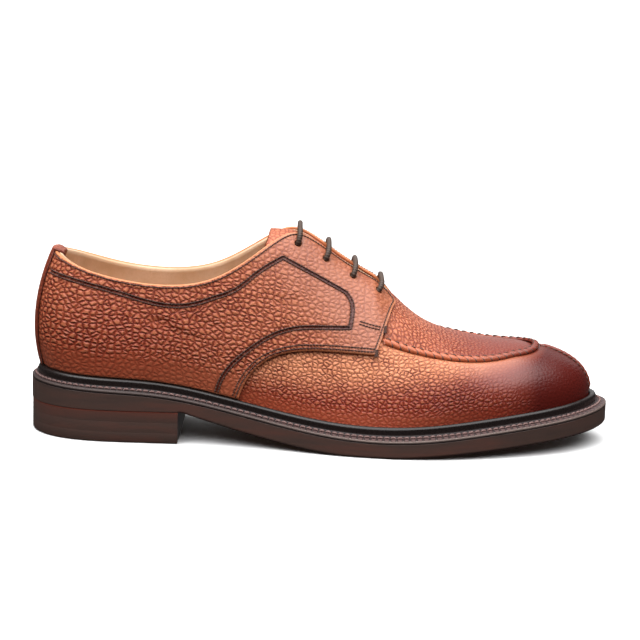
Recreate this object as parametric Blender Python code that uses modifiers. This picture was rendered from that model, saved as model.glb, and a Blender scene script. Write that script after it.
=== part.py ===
"""A split-toe derby shoe for the right foot, from the heel stack up to the lace.

The frame: +X to the toe, +Y to the inner side of the foot, +Z up, the floor at Z = 0 and the
origin under the middle. Sizes are in millimetres, and MM turns them into metres.

The upper is drawn as on a last. Its foot follows the feather line, a closed curve in plan. From
each place on that line a section, one cubic arc, climbs over the wall to the collar, to the edge
of the throat or to the ridge of the vamp. Sections stand square to the core line between the
heel core and the toe core, and fan round those two points at the ends.
"""

import math

import bmesh
import bpy
import numpy as np
from mathutils import Vector

MM = 0.001
WELD = 0.00001

# Play between neighbours, and the thickness of each layer.
GAP = 0.35
LAP = 0.45
WALL = 2.0
QUARTER = 1.6
STRIP = 1.2
TONGUE = 1.8
INSOLE = 3.2
INSOLE_PLAY = 0.55
LACE = 2.8

# Ends of the core line, the heel's breast and the front end of the throat.
HEEL_CORE = -115.0
TOE_CORE = 100.0
BREAST = -71.5
THROAT_FRONT = 36.0
THROAT_ROUND = 11.0

# The feather line: x, and the distance from the centre plane to its outer and its inner side.
HEEL_TIP = (-139.4, -1.0)
TOE_TIP = (141.5, 4.5)
FEATHER_ROWS = (
    (-134.5, 15.2, 13.2),
    (-123.0, 24.0, 22.0),
    (-105.0, 27.6, 25.6),
    (-80.0, 28.0, 25.0),
    (-55.0, 29.6, 22.4),
    (-30.0, 33.4, 22.2),
    (-5.0, 39.0, 27.0),
    (20.0, 43.5, 36.0),
    (45.0, 45.0, 43.0),
    (65.0, 43.5, 45.0),
    (85.0, 39.0, 42.5),
    (105.0, 32.0, 36.4),
    (122.0, 23.4, 28.4),
    (134.5, 12.4, 18.6),
)

# The core line's own swing, and how far the sole and the welt's bead reach beyond the feather line.
PLAN_COLUMNS = "x core margin bead"
PLAN_ROWS = (
    (-139.5, -1.0, 10.8, 7.8),
    (-128.0, -1.0, 9.0, 6.4),
    (-105.0, -0.9, 7.7, 5.4),
    (-80.0, -0.7, 7.6, 5.2),
    (-55.0, -0.3, 7.4, 5.0),
    (-35.0, 0.3, 7.3, 4.5),
    (0.0, 1.5, 7.8, 4.1),
    (40.0, 4.0, 9.0, 4.0),
    (80.0, 6.0, 9.2, 4.0),
    (100.0, 5.5, 9.4, 4.2),
    (142.0, 4.5, 10.4, 4.8),
)

# Each section: height of its top edge, half width there on both sides, how far the foot of the
# arc swells and over what rise, and the half width and drop of the shoulder below its top edge.
SECTION_COLUMNS = (
    "x top outer_edge inner_edge outer_swell inner_swell rise outer_shoulder inner_shoulder drop")
SECTION_ROWS = (
    (-140.0, 93.6, 21.8, 21.8, 10.2, 10.2, 19.5, 31.4, 31.4, 21.0),
    (-128.0, 89.4, 22.4, 22.4, 8.2, 8.2, 19.5, 30.4, 30.4, 20.0),
    (-115.0, 85.4, 23.8, 24.0, 6.8, 7.0, 19.0, 30.4, 30.8, 19.0),
    (-95.0, 81.6, 25.4, 25.8, 6.5, 6.9, 18.5, 30.8, 31.4, 18.0),
    (-75.0, 80.8, 26.6, 27.0, 6.4, 7.2, 18.0, 31.4, 32.2, 17.5),
    (-55.0, 84.8, 26.0, 26.2, 5.8, 8.3, 18.0, 31.4, 32.2, 18.5),
    (-38.0, 94.2, 21.6, 22.0, 5.0, 8.5, 17.5, 30.8, 31.6, 20.0),
    (-25.0, 102.6, 14.6, 14.8, 4.4, 7.8, 17.0, 28.2, 28.6, 17.0),
    (-15.0, 105.6, 9.5, 9.5, 3.7, 6.6, 16.5, 26.6, 26.6, 12.8),
    (-5.0, 101.4, 7.9, 7.9, 3.2, 5.4, 16.0, 26.6, 26.4, 11.2),
    (10.0, 91.1, 7.5, 7.5, 2.8, 4.0, 15.0, 28.6, 27.6, 9.5),
    (25.0, 82.3, 7.5, 7.5, 2.6, 3.2, 15.0, 31.5, 28.8, 7.6),
    (36.0, 75.2, 7.5, 7.5, 2.8, 3.0, 16.0, 36.0, 30.5, 5.8),
    (50.0, 63.6, 7.5, 7.5, 3.2, 3.0, 18.0, 43.0, 33.0, 3.2),
    (70.0, 54.9, 7.5, 7.5, 3.3, 3.0, 19.0, 45.5, 35.5, 1.3),
    (90.0, 51.3, 7.5, 7.5, 3.2, 3.0, 19.0, 40.0, 32.5, 0.8),
    (100.0, 50.7, 7.5, 7.5, 3.4, 3.2, 19.0, 36.5, 30.0, 0.8),
    (120.0, 50.7, 7.5, 7.5, 4.2, 4.2, 18.0, 33.0, 29.5, 1.1),
    (142.0, 50.7, 7.5, 7.5, 4.8, 4.8, 16.5, 34.0, 34.0, 1.6),
)

# Height of the outsole's upper face along the shoe.
SEAT_COLUMNS = "x seat"
SEAT_ROWS = (
    (-151.0, 27.0),
    (-130.0, 26.0),
    (-110.0, 25.2),
    (-90.0, 24.3),
    (-70.0, 22.0),
    (-46.0, 17.4),
    (-18.0, 12.0),
    (10.0, 8.3),
    (32.0, 7.4),
    (52.0, 8.2),
    (71.0, 10.1),
    (92.0, 12.5),
    (113.0, 14.8),
    (153.0, 19.4),
)

# The outsole's underside: heel height, arch, flat tread and toe spring.
HEEL_HEIGHT = 16.5
ARCH_BACK = -70.5
ARCH_FRONT = 15.0
ARCH_CURVE = 1.6
SPRING_BACK = 38.0
SPRING_FRONT = 152.0
SPRING_CURVE = 1.15
TOE_SPRING = 10.4
SOLE_BEVEL = 0.5
SOLE_ROUND = 1.3
HEEL_ROUND = 0.8
HEEL_INSET = 0.3

# The welt: its edge, the fall of its shelf, and the height and rounding of its bead.
SHELF = 1.7
SHELF_FALL = 1.5
WELT_BEVEL = 0.5
BEAD_TOP = 7.4
BEAD_MIDDLE = 3.0
BEAD_ROUND = 1.4
BEAD_CREST = 0.45
BEAD_LEAN = 0.35

# Lower and front edges of the quarters, as heights on the wall.
QUARTER_BACK = -41.0
QUARTER_CORNER = 27.75
QUARTER_FRONT = 38.0
QUARTER_LIFT = 0.6
LOWER_COLUMNS = "x low"
LOWER_ROWS = (
    (-41.0, 24.4),
    (-39.5, 29.0),
    (-36.5, 35.2),
    (-32.0, 40.8),
    (-26.0, 45.2),
    (-14.0, 49.0),
    (-4.0, 49.8),
    (10.0, 49.4),
    (27.75, 48.4),
)
FRONT_COLUMNS = "x low"
FRONT_ROWS = (
    (27.75, 48.4),
    (30.5, 56.0),
    (33.25, 63.6),
    (36.0, 69.0),
    (38.0, 71.4),
)
FACING_EDGE = 7.5
FACING_ROUND = 7.0
# Where the front edge of each facing meets its top edge.
FACING_TIP = {"outer": 37.2, "inner": 36.8}
TIP_STEP = 0.5
BACK_MEETING = 0.3
BACK_STRIP = 7.6

# Eyelets along each facing, each at an inset from its edge, and the lace bars that join them.
EYELET_ROWS = (
    (-13.6, 4.6),
    (0.6, 5.6),
    (14.8, 6.0),
    (28.0, 6.2),
)
EYELET_RADIUS = 2.4
EYELET_DEPTH = 6.0
EYELET_SIDES = 10
LACE_LIFT = 0.9
LACE_TURN = 0.35
LACE_ARCH = 0.7
LACE_STEPS = 11

# The raised seams: heights of the apron seam on both walls, its front and its rounded profile.
APRON_COLUMNS = "x outer inner"
APRON_ROWS = (
    (33.0, 55.0, 60.5),
    (41.0, 52.6, 57.6),
    (55.0, 49.2, 53.6),
    (69.0, 47.0, 50.6),
    (81.0, 46.2, 48.6),
    (92.0, 46.6, 47.8),
    (100.0, 47.6, 47.8),
)
APRON_BACK = {"outer": 31.5, "inner": 37.5}
APRON_FRONT = 13.4
APRON_STEPS = 14
TOE_SEAM_START = 2.6
TOE_SEAM_STEPS = 8
SEAM_PROFILE = ((-1.8, GAP), (-1.2, 1.4), (0.0, 1.9), (1.2, 1.4), (1.8, GAP))

# The tongue: height of its crest and its half width, its least lap and where its dome begins.
TONGUE_COLUMNS = "x crest half"
TONGUE_ROWS = (
    (-31.0, 107.0, 17.0),
    (-24.0, 107.0, 20.0),
    (-15.0, 106.6, 21.0),
    (-5.0, 102.5, 21.0),
    (5.0, 95.7, 21.0),
    (15.0, 88.8, 21.0),
    (25.0, 81.6, 20.0),
    (32.0, 74.8, 18.0),
    (36.0, 70.8, 17.0),
    (40.0, 67.0, 16.0),
    (44.0, 63.6, 15.0),
)
TONGUE_LAP = 3.0
TONGUE_RIM = 1.2
TONGUE_DOME = (1 / 3, 2 / 3)

# How finely the forms are divided.
HEEL_FAN = 6
SEAT_STEPS = 5
WAIST_STEPS = 14
THROAT_STEPS = 4
VAMP_STEPS = 8
TOE_FAN = 8
WALL_STEPS = 10
PATCH_STEPS = 8
STRIP_STEPS = 4
TONGUE_STEPS = 12
TONGUE_SIDE = 4

# Steps of the numeric work on the arcs.
HALVINGS = 40
NEAR = 0.2
SHORT = 0.001
TOUCH = 0.1
FIRST_SHARE = 0.3
TOE_REACH = 60.0
TOE_STOP = 0.985


class Spline:
    """A smooth curve through values at knots. A closed one comes round without a corner."""

    def __init__(self, knots, values, closed=False):
        self.knots = np.array(knots, float)
        self.values = np.array(values, float)
        self.closed = closed
        count = len(self.knots)
        step = np.diff(self.knots)
        slope = np.diff(self.values, axis=0) / step[:, None]
        system = np.eye(count)
        right = np.zeros_like(self.values)
        for i in range(1, count - 1):
            system[i, i - 1:i + 2] = step[i - 1], 2 * (step[i - 1] + step[i]), step[i]
            right[i] = 6 * (slope[i] - slope[i - 1])
        if closed:
            system[0, -1] = -1
            system[-1, -2] = step[-1]
            system[-1, -1] = 2 * (step[-1] + step[0])
            system[-1, 1] = step[0]
            right[-1] = 6 * (slope[0] - slope[-1])
        self.bend = np.linalg.solve(system, right)

    def at(self, knot):
        first, last = self.knots[0], self.knots[-1]
        knot = first + (knot - first) % (last - first) if self.closed else min(max(knot, first), last)
        i = min(max(int(np.searchsorted(self.knots, knot)) - 1, 0), len(self.knots) - 2)
        step = self.knots[i + 1] - self.knots[i]
        a = (self.knots[i + 1] - knot) / step
        b = 1 - a
        straight = a * self.values[i] + b * self.values[i + 1]
        curved = (a ** 3 - a) * self.bend[i] + (b ** 3 - b) * self.bend[i + 1]
        return straight + curved * step ** 2 / 6


class Table:
    """Sizes at stations along the shoe, read by name at any x."""

    def __init__(self, columns, rows):
        self.names = columns.split()[1:]
        self.curve = Spline([row[0] for row in rows], [row[1:] for row in rows])

    def at(self, name, x):
        return float(self.curve.at(x)[self.names.index(name)])


class Feather:
    """The feather line, run from the heel tip along the outer side to the toe and back."""

    SAMPLES = 4000

    def __init__(self):
        outer = [(x, -far) for x, far, _ in FEATHER_ROWS]
        inner = [(x, far) for x, _, far in FEATHER_ROWS]
        points = np.array([HEEL_TIP, *outer, TOE_TIP, *reversed(inner), HEEL_TIP])
        run = np.concatenate(([0], np.cumsum(np.linalg.norm(np.diff(points, axis=0), axis=1))))
        self.curve = Spline(run, points, closed=True)
        self.length = float(run[-1])
        self.toe = float(run[len(outer) + 1])
        self.outer_places = np.linspace(0, self.toe, self.SAMPLES)
        self.outer_xs = np.array([self.curve.at(place)[0] for place in self.outer_places])
        self.inner_places = np.linspace(self.length - 1e-6, self.toe, self.SAMPLES)
        self.inner_xs = np.array([self.curve.at(place)[0] for place in self.inner_places])

    def is_outer(self, place):
        return place % self.length <= self.toe

    def place(self, side, x):
        if side == "outer":
            return float(np.interp(x, self.outer_xs, self.outer_places))
        return float(np.interp(x, self.inner_xs, self.inner_places))

    def out(self, place):
        ahead = self.curve.at(place + TOUCH) - self.curve.at(place - TOUCH)
        ahead /= np.linalg.norm(ahead)
        return np.array((ahead[1], -ahead[0]))


feather = Feather()
plan = Table(PLAN_COLUMNS, PLAN_ROWS)
sections = Table(SECTION_COLUMNS, SECTION_ROWS)
seat = Table(SEAT_COLUMNS, SEAT_ROWS)
lower_edge = Table(LOWER_COLUMNS, LOWER_ROWS)
front_edge = Table(FRONT_COLUMNS, FRONT_ROWS)
apron = Table(APRON_COLUMNS, APRON_ROWS)
tongue_sizes = Table(TONGUE_COLUMNS, TONGUE_ROWS)


def underside(x):
    """Height of the outsole's lower face."""
    if x < ARCH_BACK:
        return HEEL_HEIGHT
    if x < ARCH_FRONT:
        return HEEL_HEIGHT * ((ARCH_FRONT - x) / (ARCH_FRONT - ARCH_BACK)) ** ARCH_CURVE
    if x < SPRING_BACK:
        return 0.0
    return TOE_SPRING * ((x - SPRING_BACK) / (SPRING_FRONT - SPRING_BACK)) ** SPRING_CURVE


def core_point(x):
    """The point of the core line that a section at x stands square to."""
    x = min(max(x, HEEL_CORE), TOE_CORE)
    return np.array((x, plan.at("core", x)))


def edge_half(side, x):
    """Half width at the top edge: the collar, then the throat, which narrows to its front end."""
    if x >= THROAT_FRONT:
        return 0.0
    half = sections.at(side + "_edge", x)
    along = max(x - (THROAT_FRONT - THROAT_ROUND), 0) / THROAT_ROUND
    return half * (1 + math.cos(math.pi * along)) / 2


def section(place):
    """The four control points of the arc that climbs from a place on the feather line."""
    side = "outer" if feather.is_outer(place) else "inner"
    foot = feather.curve.at(place)
    x = float(foot[0])
    core = core_point(x)
    out = (foot - core) / np.linalg.norm(foot - core)
    low = seat.at("seat", x) + GAP
    top = sections.at("top", min(x, TOE_CORE))
    edge = core + out * edge_half(side, x)
    swell = foot + out * sections.at(side + "_swell", x)
    shoulder = core + out * sections.at(side + "_shoulder", x)
    return np.array((
        (*foot, low),
        (*swell, low + sections.at("rise", x)),
        (*shoulder, top - sections.at("drop", x)),
        (*edge, top),
    ))


def arc(control, t):
    """A point of a cubic arc."""
    s = 1 - t
    return np.array((s ** 3, 3 * s * s * t, 3 * s * t * t, t ** 3)) @ control


def skin_normal(place, t):
    """The outward normal, taken a little short of the point where the toe's sections meet."""
    stop = TOE_STOP if abs(place - feather.toe) < TOE_REACH else 1 - SHORT
    t = min(max(t, SHORT), stop)
    round_foot = arc(section(place + NEAR), t) - arc(section(place - NEAR), t)
    here = section(place)
    climb = arc(here, t + SHORT) - arc(here, t - SHORT)
    normal = np.cross(round_foot, climb)
    return normal / np.linalg.norm(normal)


def skin(place, t, lift=0.0):
    """A point on the outside of the upper, or lifted off it."""
    point = arc(section(place), t)
    return point + lift * skin_normal(place, t) if lift else point


def share_at_height(place, height):
    """How far up its arc a section reaches a height."""
    control = section(place)
    low, high = 0.0, 1.0
    for _ in range(HALVINGS):
        middle = (low + high) / 2
        low, high = (middle, high) if arc(control, middle)[2] < height else (low, middle)
    return low


def share_at_half(place, half):
    """How far up its arc a section has closed in to a distance from the core line."""
    control = section(place)
    core = core_point(control[0][0])
    low, high = FIRST_SHARE, 1.0
    for _ in range(HALVINGS):
        middle = (low + high) / 2
        wide = np.linalg.norm(arc(control, middle)[:2] - core) > half
        low, high = (middle, high) if wide else (low, middle)
    return low


def side_places(side):
    """Places along one side from the heel tip to the toe tip, both ends included."""
    tips = (0.0, feather.toe) if side == "outer" else (feather.length, feather.toe)
    steps = (
        np.linspace(HEEL_CORE, BREAST, SEAT_STEPS + 1)[:-1],
        np.linspace(BREAST, THROAT_FRONT - THROAT_ROUND, WAIST_STEPS + 1)[:-1],
        np.linspace(THROAT_FRONT - THROAT_ROUND, THROAT_FRONT, THROAT_STEPS + 1)[:-1],
        np.linspace(THROAT_FRONT, TOE_CORE, VAMP_STEPS + 1),
    )
    middle = [feather.place(side, x) for x in np.concatenate(steps)]
    heel = list(np.linspace(tips[0], middle[0], HEEL_FAN + 1)[:-1])
    toe = list(np.linspace(middle[-1], tips[1], TOE_FAN + 1)[1:])
    return heel + middle + toe


def loop_places():
    """All the places round the feather line, once."""
    return side_places("outer") + side_places("inner")[1:-1][::-1]


def margin(place):
    return plan.at("margin", float(feather.curve.at(place)[0]))


def beyond(place, distance):
    """A point in plan, a distance out from the feather line."""
    return feather.curve.at(place) + feather.out(place) * distance


def bead_line(place):
    """Height of the top of the welt's bead."""
    return seat.at("seat", float(feather.curve.at(place)[0])) + BEAD_TOP


shoe = bpy.data.collections.new("split_toe_derby")
cutters = bpy.data.collections.new("cutters")


def clear_scene():
    for old in list(bpy.data.objects):
        bpy.data.objects.remove(old, do_unlink=True)
    bpy.context.scene.collection.children.link(shoe)
    bpy.context.scene.collection.children.link(cutters)


def finish(name, colour, roughness):
    """A painted leather or cord finish."""
    material = bpy.data.materials.new(name)
    material.use_nodes = True
    shader = material.node_tree.nodes["Principled BSDF"]
    shader.inputs["Base Color"].default_value = (*colour, 1.0)
    shader.inputs["Roughness"].default_value = roughness
    shader.inputs["Metallic"].default_value = 0.0
    return material


def add_rows(mesh, rows, round_rows=False, round_points=False):
    """Bridge rows of points, each to the next, into the mesh."""
    verts = [[mesh.verts.new(Vector(point) * MM) for point in row] for row in rows]
    following = verts[1:] + verts[:1] if round_rows else verts[1:]
    for near, far in zip(verts, following):
        count = len(near)
        for i in range(count if round_points else count - 1):
            j = (i + 1) % count
            mesh.faces.new((near[i], far[i], far[j], near[j]))
    return verts


def add_object(name, mesh, material, solid):
    """Weld the mesh and put it in the shoe; a solid has its faces turned outward."""
    bmesh.ops.remove_doubles(mesh, verts=mesh.verts, dist=WELD)
    if solid:
        bmesh.ops.recalc_face_normals(mesh, faces=mesh.faces)
    data = bpy.data.meshes.new(name)
    mesh.to_mesh(data)
    mesh.free()
    data.materials.append(material)
    thing = bpy.data.objects.new(name, data)
    shoe.objects.link(thing)
    return thing


def thicken(thing, thickness, offset):
    layer = thing.modifiers.new("layer", "SOLIDIFY")
    layer.thickness = thickness * MM
    layer.offset = offset
    layer.use_even_offset = True
    layer.use_quality_normals = True


def lift_off(thing, distance):
    lift = thing.modifiers.new("lift", "DISPLACE")
    lift.direction = "NORMAL"
    lift.mid_level = 0.0
    lift.strength = distance * MM


def make_outsole():
    """Rings from the core line over the seat, down the edge and back under the tread."""
    places = loop_places()

    def core_ring(height):
        cores = [core_point(float(feather.curve.at(place)[0])) for place in places]
        return [(*core, height(float(core[0]))) for core in cores]

    def edge_ring(inset, height, rise):
        points = [beyond(place, margin(place) - inset) for place in places]
        return [(*point, height(float(point[0])) + rise) for point in points]

    def seat_height(x):
        return seat.at("seat", x)

    rings = (
        core_ring(seat_height),
        edge_ring(SOLE_BEVEL, seat_height, 0.0),
        edge_ring(0.0, seat_height, -SOLE_BEVEL),
        edge_ring(0.0, underside, SOLE_ROUND),
        edge_ring(SOLE_ROUND / 3, underside, SOLE_ROUND / 3),
        edge_ring(SOLE_ROUND, underside, 0.0),
        core_ring(underside),
    )
    mesh = bmesh.new()
    add_rows(mesh, rings, round_points=True)
    return add_object("outsole", mesh, finish("sole_leather", (0.065, 0.035, 0.028), 0.45), True)


def make_heel():
    """The stacked lifts: the sole's outline behind the breast, closed by the straight breast."""
    outer = [place for place in side_places("outer") if feather.curve.at(place)[0] < BREAST - 1]
    inner = [place for place in side_places("inner") if feather.curve.at(place)[0] < BREAST - 1]
    places = [feather.place("inner", BREAST), *inner[:0:-1], *outer, feather.place("outer", BREAST)]

    def ring(inset, height):
        points = [beyond(place, margin(place) - HEEL_INSET - inset) for place in places]
        return [(min(point[0], BREAST - inset), point[1], height) for point in points]

    top = HEEL_HEIGHT - GAP
    rings = (ring(HEEL_ROUND, 0.0), ring(0.0, HEEL_ROUND), ring(0.0, top))
    mesh = bmesh.new()
    verts = add_rows(mesh, rings, round_points=True)
    mesh.faces.new(verts[0])
    mesh.faces.new(verts[-1])
    return add_object("heel_stack", mesh, finish("heel_leather", (0.06, 0.033, 0.028), 0.45), True)


def make_welt():
    """A flat stitched shelf on the sole's margin with a rounded bead against the upper."""
    mesh = bmesh.new()
    profiles = []
    for place in loop_places():
        x = float(feather.curve.at(place)[0])
        base = seat.at("seat", x)
        out = np.array((*feather.out(place), 0.0))
        width = margin(place)
        bead = plan.at("bead", x)
        crest = base + BEAD_TOP

        def against(height):
            return skin(place, share_at_height(place, height)) + out * GAP

        def ahead(distance, height):
            point = beyond(place, distance)
            return np.array((*point, height))

        tucked = against(crest - BEAD_ROUND)
        reach = float(np.dot(tucked[:2] - feather.curve.at(place), out[:2]))
        ledge = seat.at("seat", float(beyond(place, width)[0]))
        profiles.append((
            ahead(GAP, base + GAP),
            against(base + BEAD_MIDDLE),
            tucked,
            ahead(reach + BEAD_CREST * (bead - reach), crest),
            ahead(bead - BEAD_LEAN, crest - BEAD_ROUND),
            ahead(bead, base + SHELF + SHELF_FALL),
            ahead(width - WELT_BEVEL, ledge + SHELF),
            ahead(width, ledge + SHELF - WELT_BEVEL),
            ahead(width, ledge + GAP),
        ))
    add_rows(mesh, profiles, round_rows=True, round_points=True)
    return add_object("welt", mesh, finish("welt_leather", (0.10, 0.065, 0.06), 0.5), True)


def make_insole():
    """The board the foot stands on, a little inside the upper's wall."""
    places = loop_places()
    inset = WALL + INSOLE_PLAY

    def core_ring(lift):
        cores = [core_point(float(feather.curve.at(place)[0])) for place in places]
        return [(*core, seat.at("seat", float(core[0])) + lift) for core in cores]

    def edge_ring(lift):
        points = [beyond(place, -inset) for place in places]
        return [(*point, seat.at("seat", float(point[0])) + lift) for point in points]

    rings = (core_ring(GAP), edge_ring(GAP), edge_ring(INSOLE), core_ring(INSOLE))
    mesh = bmesh.new()
    add_rows(mesh, rings, round_points=True)
    return add_object("insole", mesh, finish("insole_leather", (0.50, 0.31, 0.17), 0.6), True)


def make_upper():
    """The hollow upper: one wall over the whole last, open below, at the collar and the throat."""
    shares = np.linspace(0, 1, WALL_STEPS + 1)
    mesh = bmesh.new()
    add_rows(mesh, [[skin(place, t) for t in shares] for place in loop_places()], round_rows=True)
    upper = add_object("upper", mesh, finish("vamp_leather", (0.56, 0.17, 0.068), 0.4), False)
    thicken(upper, WALL, -1.0)
    return upper


def quarter_column(place):
    """One column of a quarter, from its lower edge to the collar, the facing or its front."""
    x = float(feather.curve.at(place)[0])
    if x < QUARTER_BACK:
        low = bead_line(place) + QUARTER_LIFT
    elif x < QUARTER_CORNER + TOUCH:
        low = lower_edge.at("low", x)
    else:
        low = front_edge.at("low", x)
    bottom = share_at_height(place, low)
    top = 1.0
    if x > THROAT_FRONT - THROAT_ROUND:
        turn = max(x - (QUARTER_FRONT - FACING_ROUND), 0) / FACING_ROUND
        half = FACING_EDGE + FACING_ROUND * (1 - math.sqrt(max(1 - turn ** 2, 0)))
        top = share_at_half(place, half)
    return [skin(place, t) for t in np.linspace(bottom, top, PATCH_STEPS + 1)]


def quarter_places(side):
    """Places from the back seam to the front of a facing, closer together round its front."""
    step = BACK_MEETING if side == "outer" else -BACK_MEETING
    tip = (0.0 if side == "outer" else feather.length) + step
    front = FACING_TIP[side]
    body = [place for place in side_places(side)[1:] if feather.curve.at(place)[0] < front - TIP_STEP]
    return [tip, *body, feather.place(side, front)]


def facing_half(side, x):
    """Half width between the facings, which stay apart where the throat under them closes."""
    return edge_half(side, min(x, THROAT_FRONT - THROAT_ROUND))


def eyelet_share(side, x, inset):
    """Where an eyelet is punched, an inset from the edge of its facing."""
    place = feather.place(side, x)
    return place, share_at_half(place, facing_half(side, x) + inset)


def make_eyelet_cutter(side):
    """Punches for the four eyelets of one facing."""
    punches = bmesh.new()
    for x, inset in EYELET_ROWS:
        place, t = eyelet_share(side, x, inset)
        turn = Vector(skin_normal(place, t)).to_track_quat("Z", "Y").to_matrix().to_4x4()
        turn.translation = Vector(skin(place, t, LAP + QUARTER / 2)) * MM
        bmesh.ops.create_cone(
            punches, cap_ends=True, segments=EYELET_SIDES, radius1=EYELET_RADIUS * MM,
            radius2=EYELET_RADIUS * MM, depth=EYELET_DEPTH * MM, matrix=turn)
    data = bpy.data.meshes.new("eyelet_punch_" + side)
    punches.to_mesh(data)
    punches.free()
    cutter = bpy.data.objects.new("eyelet_punch_" + side, data)
    cutters.objects.link(cutter)
    cutter.hide_render = True
    cutter.display_type = "WIRE"
    return cutter


def make_quarter(side, material):
    """A facing and its wing, one layer lapped over the upper, with punched eyelets."""
    places = quarter_places(side)
    if side == "inner":
        places = places[::-1]
    mesh = bmesh.new()
    add_rows(mesh, [quarter_column(place) for place in places])
    quarter = add_object("quarter_" + side, mesh, material, False)
    lift_off(quarter, LAP)
    thicken(quarter, QUARTER, 1.0)
    punch = quarter.modifiers.new("eyelets", "BOOLEAN")
    punch.object = make_eyelet_cutter(side)
    punch.operation = "DIFFERENCE"
    punch.solver = "EXACT"
    return quarter


def make_back_strip():
    """The strip over the back seam, from the bead to the collar."""
    mesh = bmesh.new()
    columns = []
    for place in np.linspace(-BACK_STRIP, BACK_STRIP, STRIP_STEPS + 1):
        low = share_at_height(place, bead_line(place) + QUARTER_LIFT)
        columns.append([skin(place, t) for t in np.linspace(low, 1, PATCH_STEPS + 1)])
    add_rows(mesh, columns)
    strip = add_object("back_strip", mesh, finish("strip_leather", (0.36, 0.09, 0.04), 0.4), False)
    lift_off(strip, LAP + QUARTER + GAP)
    thicken(strip, STRIP, 1.0)
    return strip


def make_ridge(name, path, material):
    """A raised seam: the rounded profile carried along a path of places on the upper."""
    points = np.array([skin(place, t) for place, t in path])
    normals = np.array([skin_normal(place, t) for place, t in path])
    ahead = np.gradient(points, axis=0)
    rings = []
    for point, normal, step in zip(points, normals, ahead):
        across = np.cross(step, normal)
        across /= np.linalg.norm(across)
        rings.append([point + across * wide + normal * high for wide, high in SEAM_PROFILE])
    mesh = bmesh.new()
    verts = add_rows(mesh, rings, round_points=True)
    mesh.faces.new(verts[0])
    mesh.faces.new(verts[-1])
    return add_object(name, mesh, material, True)


def apron_path():
    """Places of the apron seam: along the outer wall, round the toe and back on the inner wall."""
    runs = []
    for side in ("outer", "inner"):
        run = []
        for x in np.linspace(APRON_BACK[side], TOE_CORE, APRON_STEPS):
            place = feather.place(side, x)
            run.append((place, share_at_height(place, apron.at(side, x))))
        runs.append(run)
    outer, inner = runs
    start, end = outer[-1], inner[-1]
    core = core_point(TOE_CORE)
    start_half = np.linalg.norm(skin(*start)[:2] - core)
    end_half = np.linalg.norm(skin(*end)[:2] - core)
    fan = []
    count = 2 * TOE_FAN + 2
    for i in range(1, count):
        place = start[0] + (end[0] - start[0]) * i / count
        here = i / count * 2
        side_half, toward = (start_half, here) if here < 1 else (end_half, 2 - here)
        half = side_half + (APRON_FRONT - side_half) * math.sin(toward * math.pi / 2)
        fan.append((place, share_at_half(place, half)))
    return outer + fan + inner[::-1]


def make_apron_seam():
    return make_ridge("apron_seam", apron_path(), finish("apron_seam_leather", (0.30, 0.085, 0.04), 0.4))


def make_toe_seam():
    """The split seam, from just ahead of the apron down to the bead."""
    start = share_at_half(feather.toe, APRON_FRONT + TOE_SEAM_START)
    end = share_at_height(feather.toe, bead_line(feather.toe) + QUARTER_LIFT)
    path = [(feather.toe, t) for t in np.linspace(start, end, TOE_SEAM_STEPS)]
    return make_ridge("toe_seam", path, finish("toe_seam_leather", (0.16, 0.03, 0.02), 0.35))


def tongue_row(x):
    """One row across the tongue: up under the outer facing, over the crest, down the inner side."""
    halves = []
    for side in ("outer", "inner"):
        place = feather.place(side, x)
        edge = edge_half(side, x)
        wide = max(tongue_sizes.at("half", x), edge + TONGUE_LAP)
        ends = share_at_half(place, wide), share_at_half(place, edge + TONGUE_RIM)
        halves.append([skin(place, t, -(WALL + LAP + GAP / 2)) for t in np.linspace(*ends, TONGUE_SIDE)])
    crest = np.array((*core_point(x), tongue_sizes.at("crest", x)))
    domes = []
    for half in halves:
        rim = half[-1]
        dome = []
        for share in TONGUE_DOME:
            point = rim + (crest - rim) * share
            point[2] = rim[2] + (crest[2] - rim[2]) * math.sin(share * math.pi / 2)
            dome.append(point)
        domes.append(half + dome)
    return domes[0] + [crest] + domes[1][::-1]


def make_tongue():
    """The tongue, under the facings, free at its top end."""
    xs = np.linspace(TONGUE_ROWS[0][0], TONGUE_ROWS[-1][0], TONGUE_STEPS + 1)
    mesh = bmesh.new()
    add_rows(mesh, [tongue_row(x) for x in xs])
    tongue = add_object("tongue", mesh, finish("tongue_leather", (0.52, 0.16, 0.07), 0.45), False)
    thicken(tongue, TONGUE, -1.0)
    return tongue


def make_lace_bar(index, x, inset):
    """One straight bar of the lace, out of one eyelet, over the throat and into the other."""
    on_top = LAP + QUARTER + LACE_LIFT + LACE / 2
    ends = []
    for side in ("outer", "inner"):
        place, t = eyelet_share(side, x, inset)
        rim = share_at_half(place, facing_half(side, x))
        toward = t + (rim - t) * LACE_TURN
        hole = [skin(place, t, 2 * GAP), skin(place, t, QUARTER + 2 * GAP), skin(place, toward, on_top)]
        ends.append(hole + [skin(place, rim, on_top)])
    crown = (ends[0][-1] + ends[1][-1]) / 2
    crown[2] += LACE_ARCH
    through = np.array([*ends[0], crown, *ends[1][::-1]])
    run = np.concatenate(([0], np.cumsum(np.linalg.norm(np.diff(through, axis=0), axis=1))))
    course = Spline(run, through)
    name = "lace_bar_%d" % index
    data = bpy.data.curves.new(name, "CURVE")
    data.dimensions = "3D"
    data.bevel_depth = LACE / 2 * MM
    data.bevel_resolution = 2
    data.use_fill_caps = True
    strand = data.splines.new("POLY")
    strand.points.add(LACE_STEPS - 1)
    for point, at in zip(strand.points, np.linspace(0, run[-1], LACE_STEPS)):
        point.co = (*(course.at(at) * MM), 1.0)
    data.materials.append(finish(name + "_cord", (0.07, 0.048, 0.04), 0.55))
    bar = bpy.data.objects.new(name, data)
    shoe.objects.link(bar)
    return bar


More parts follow.
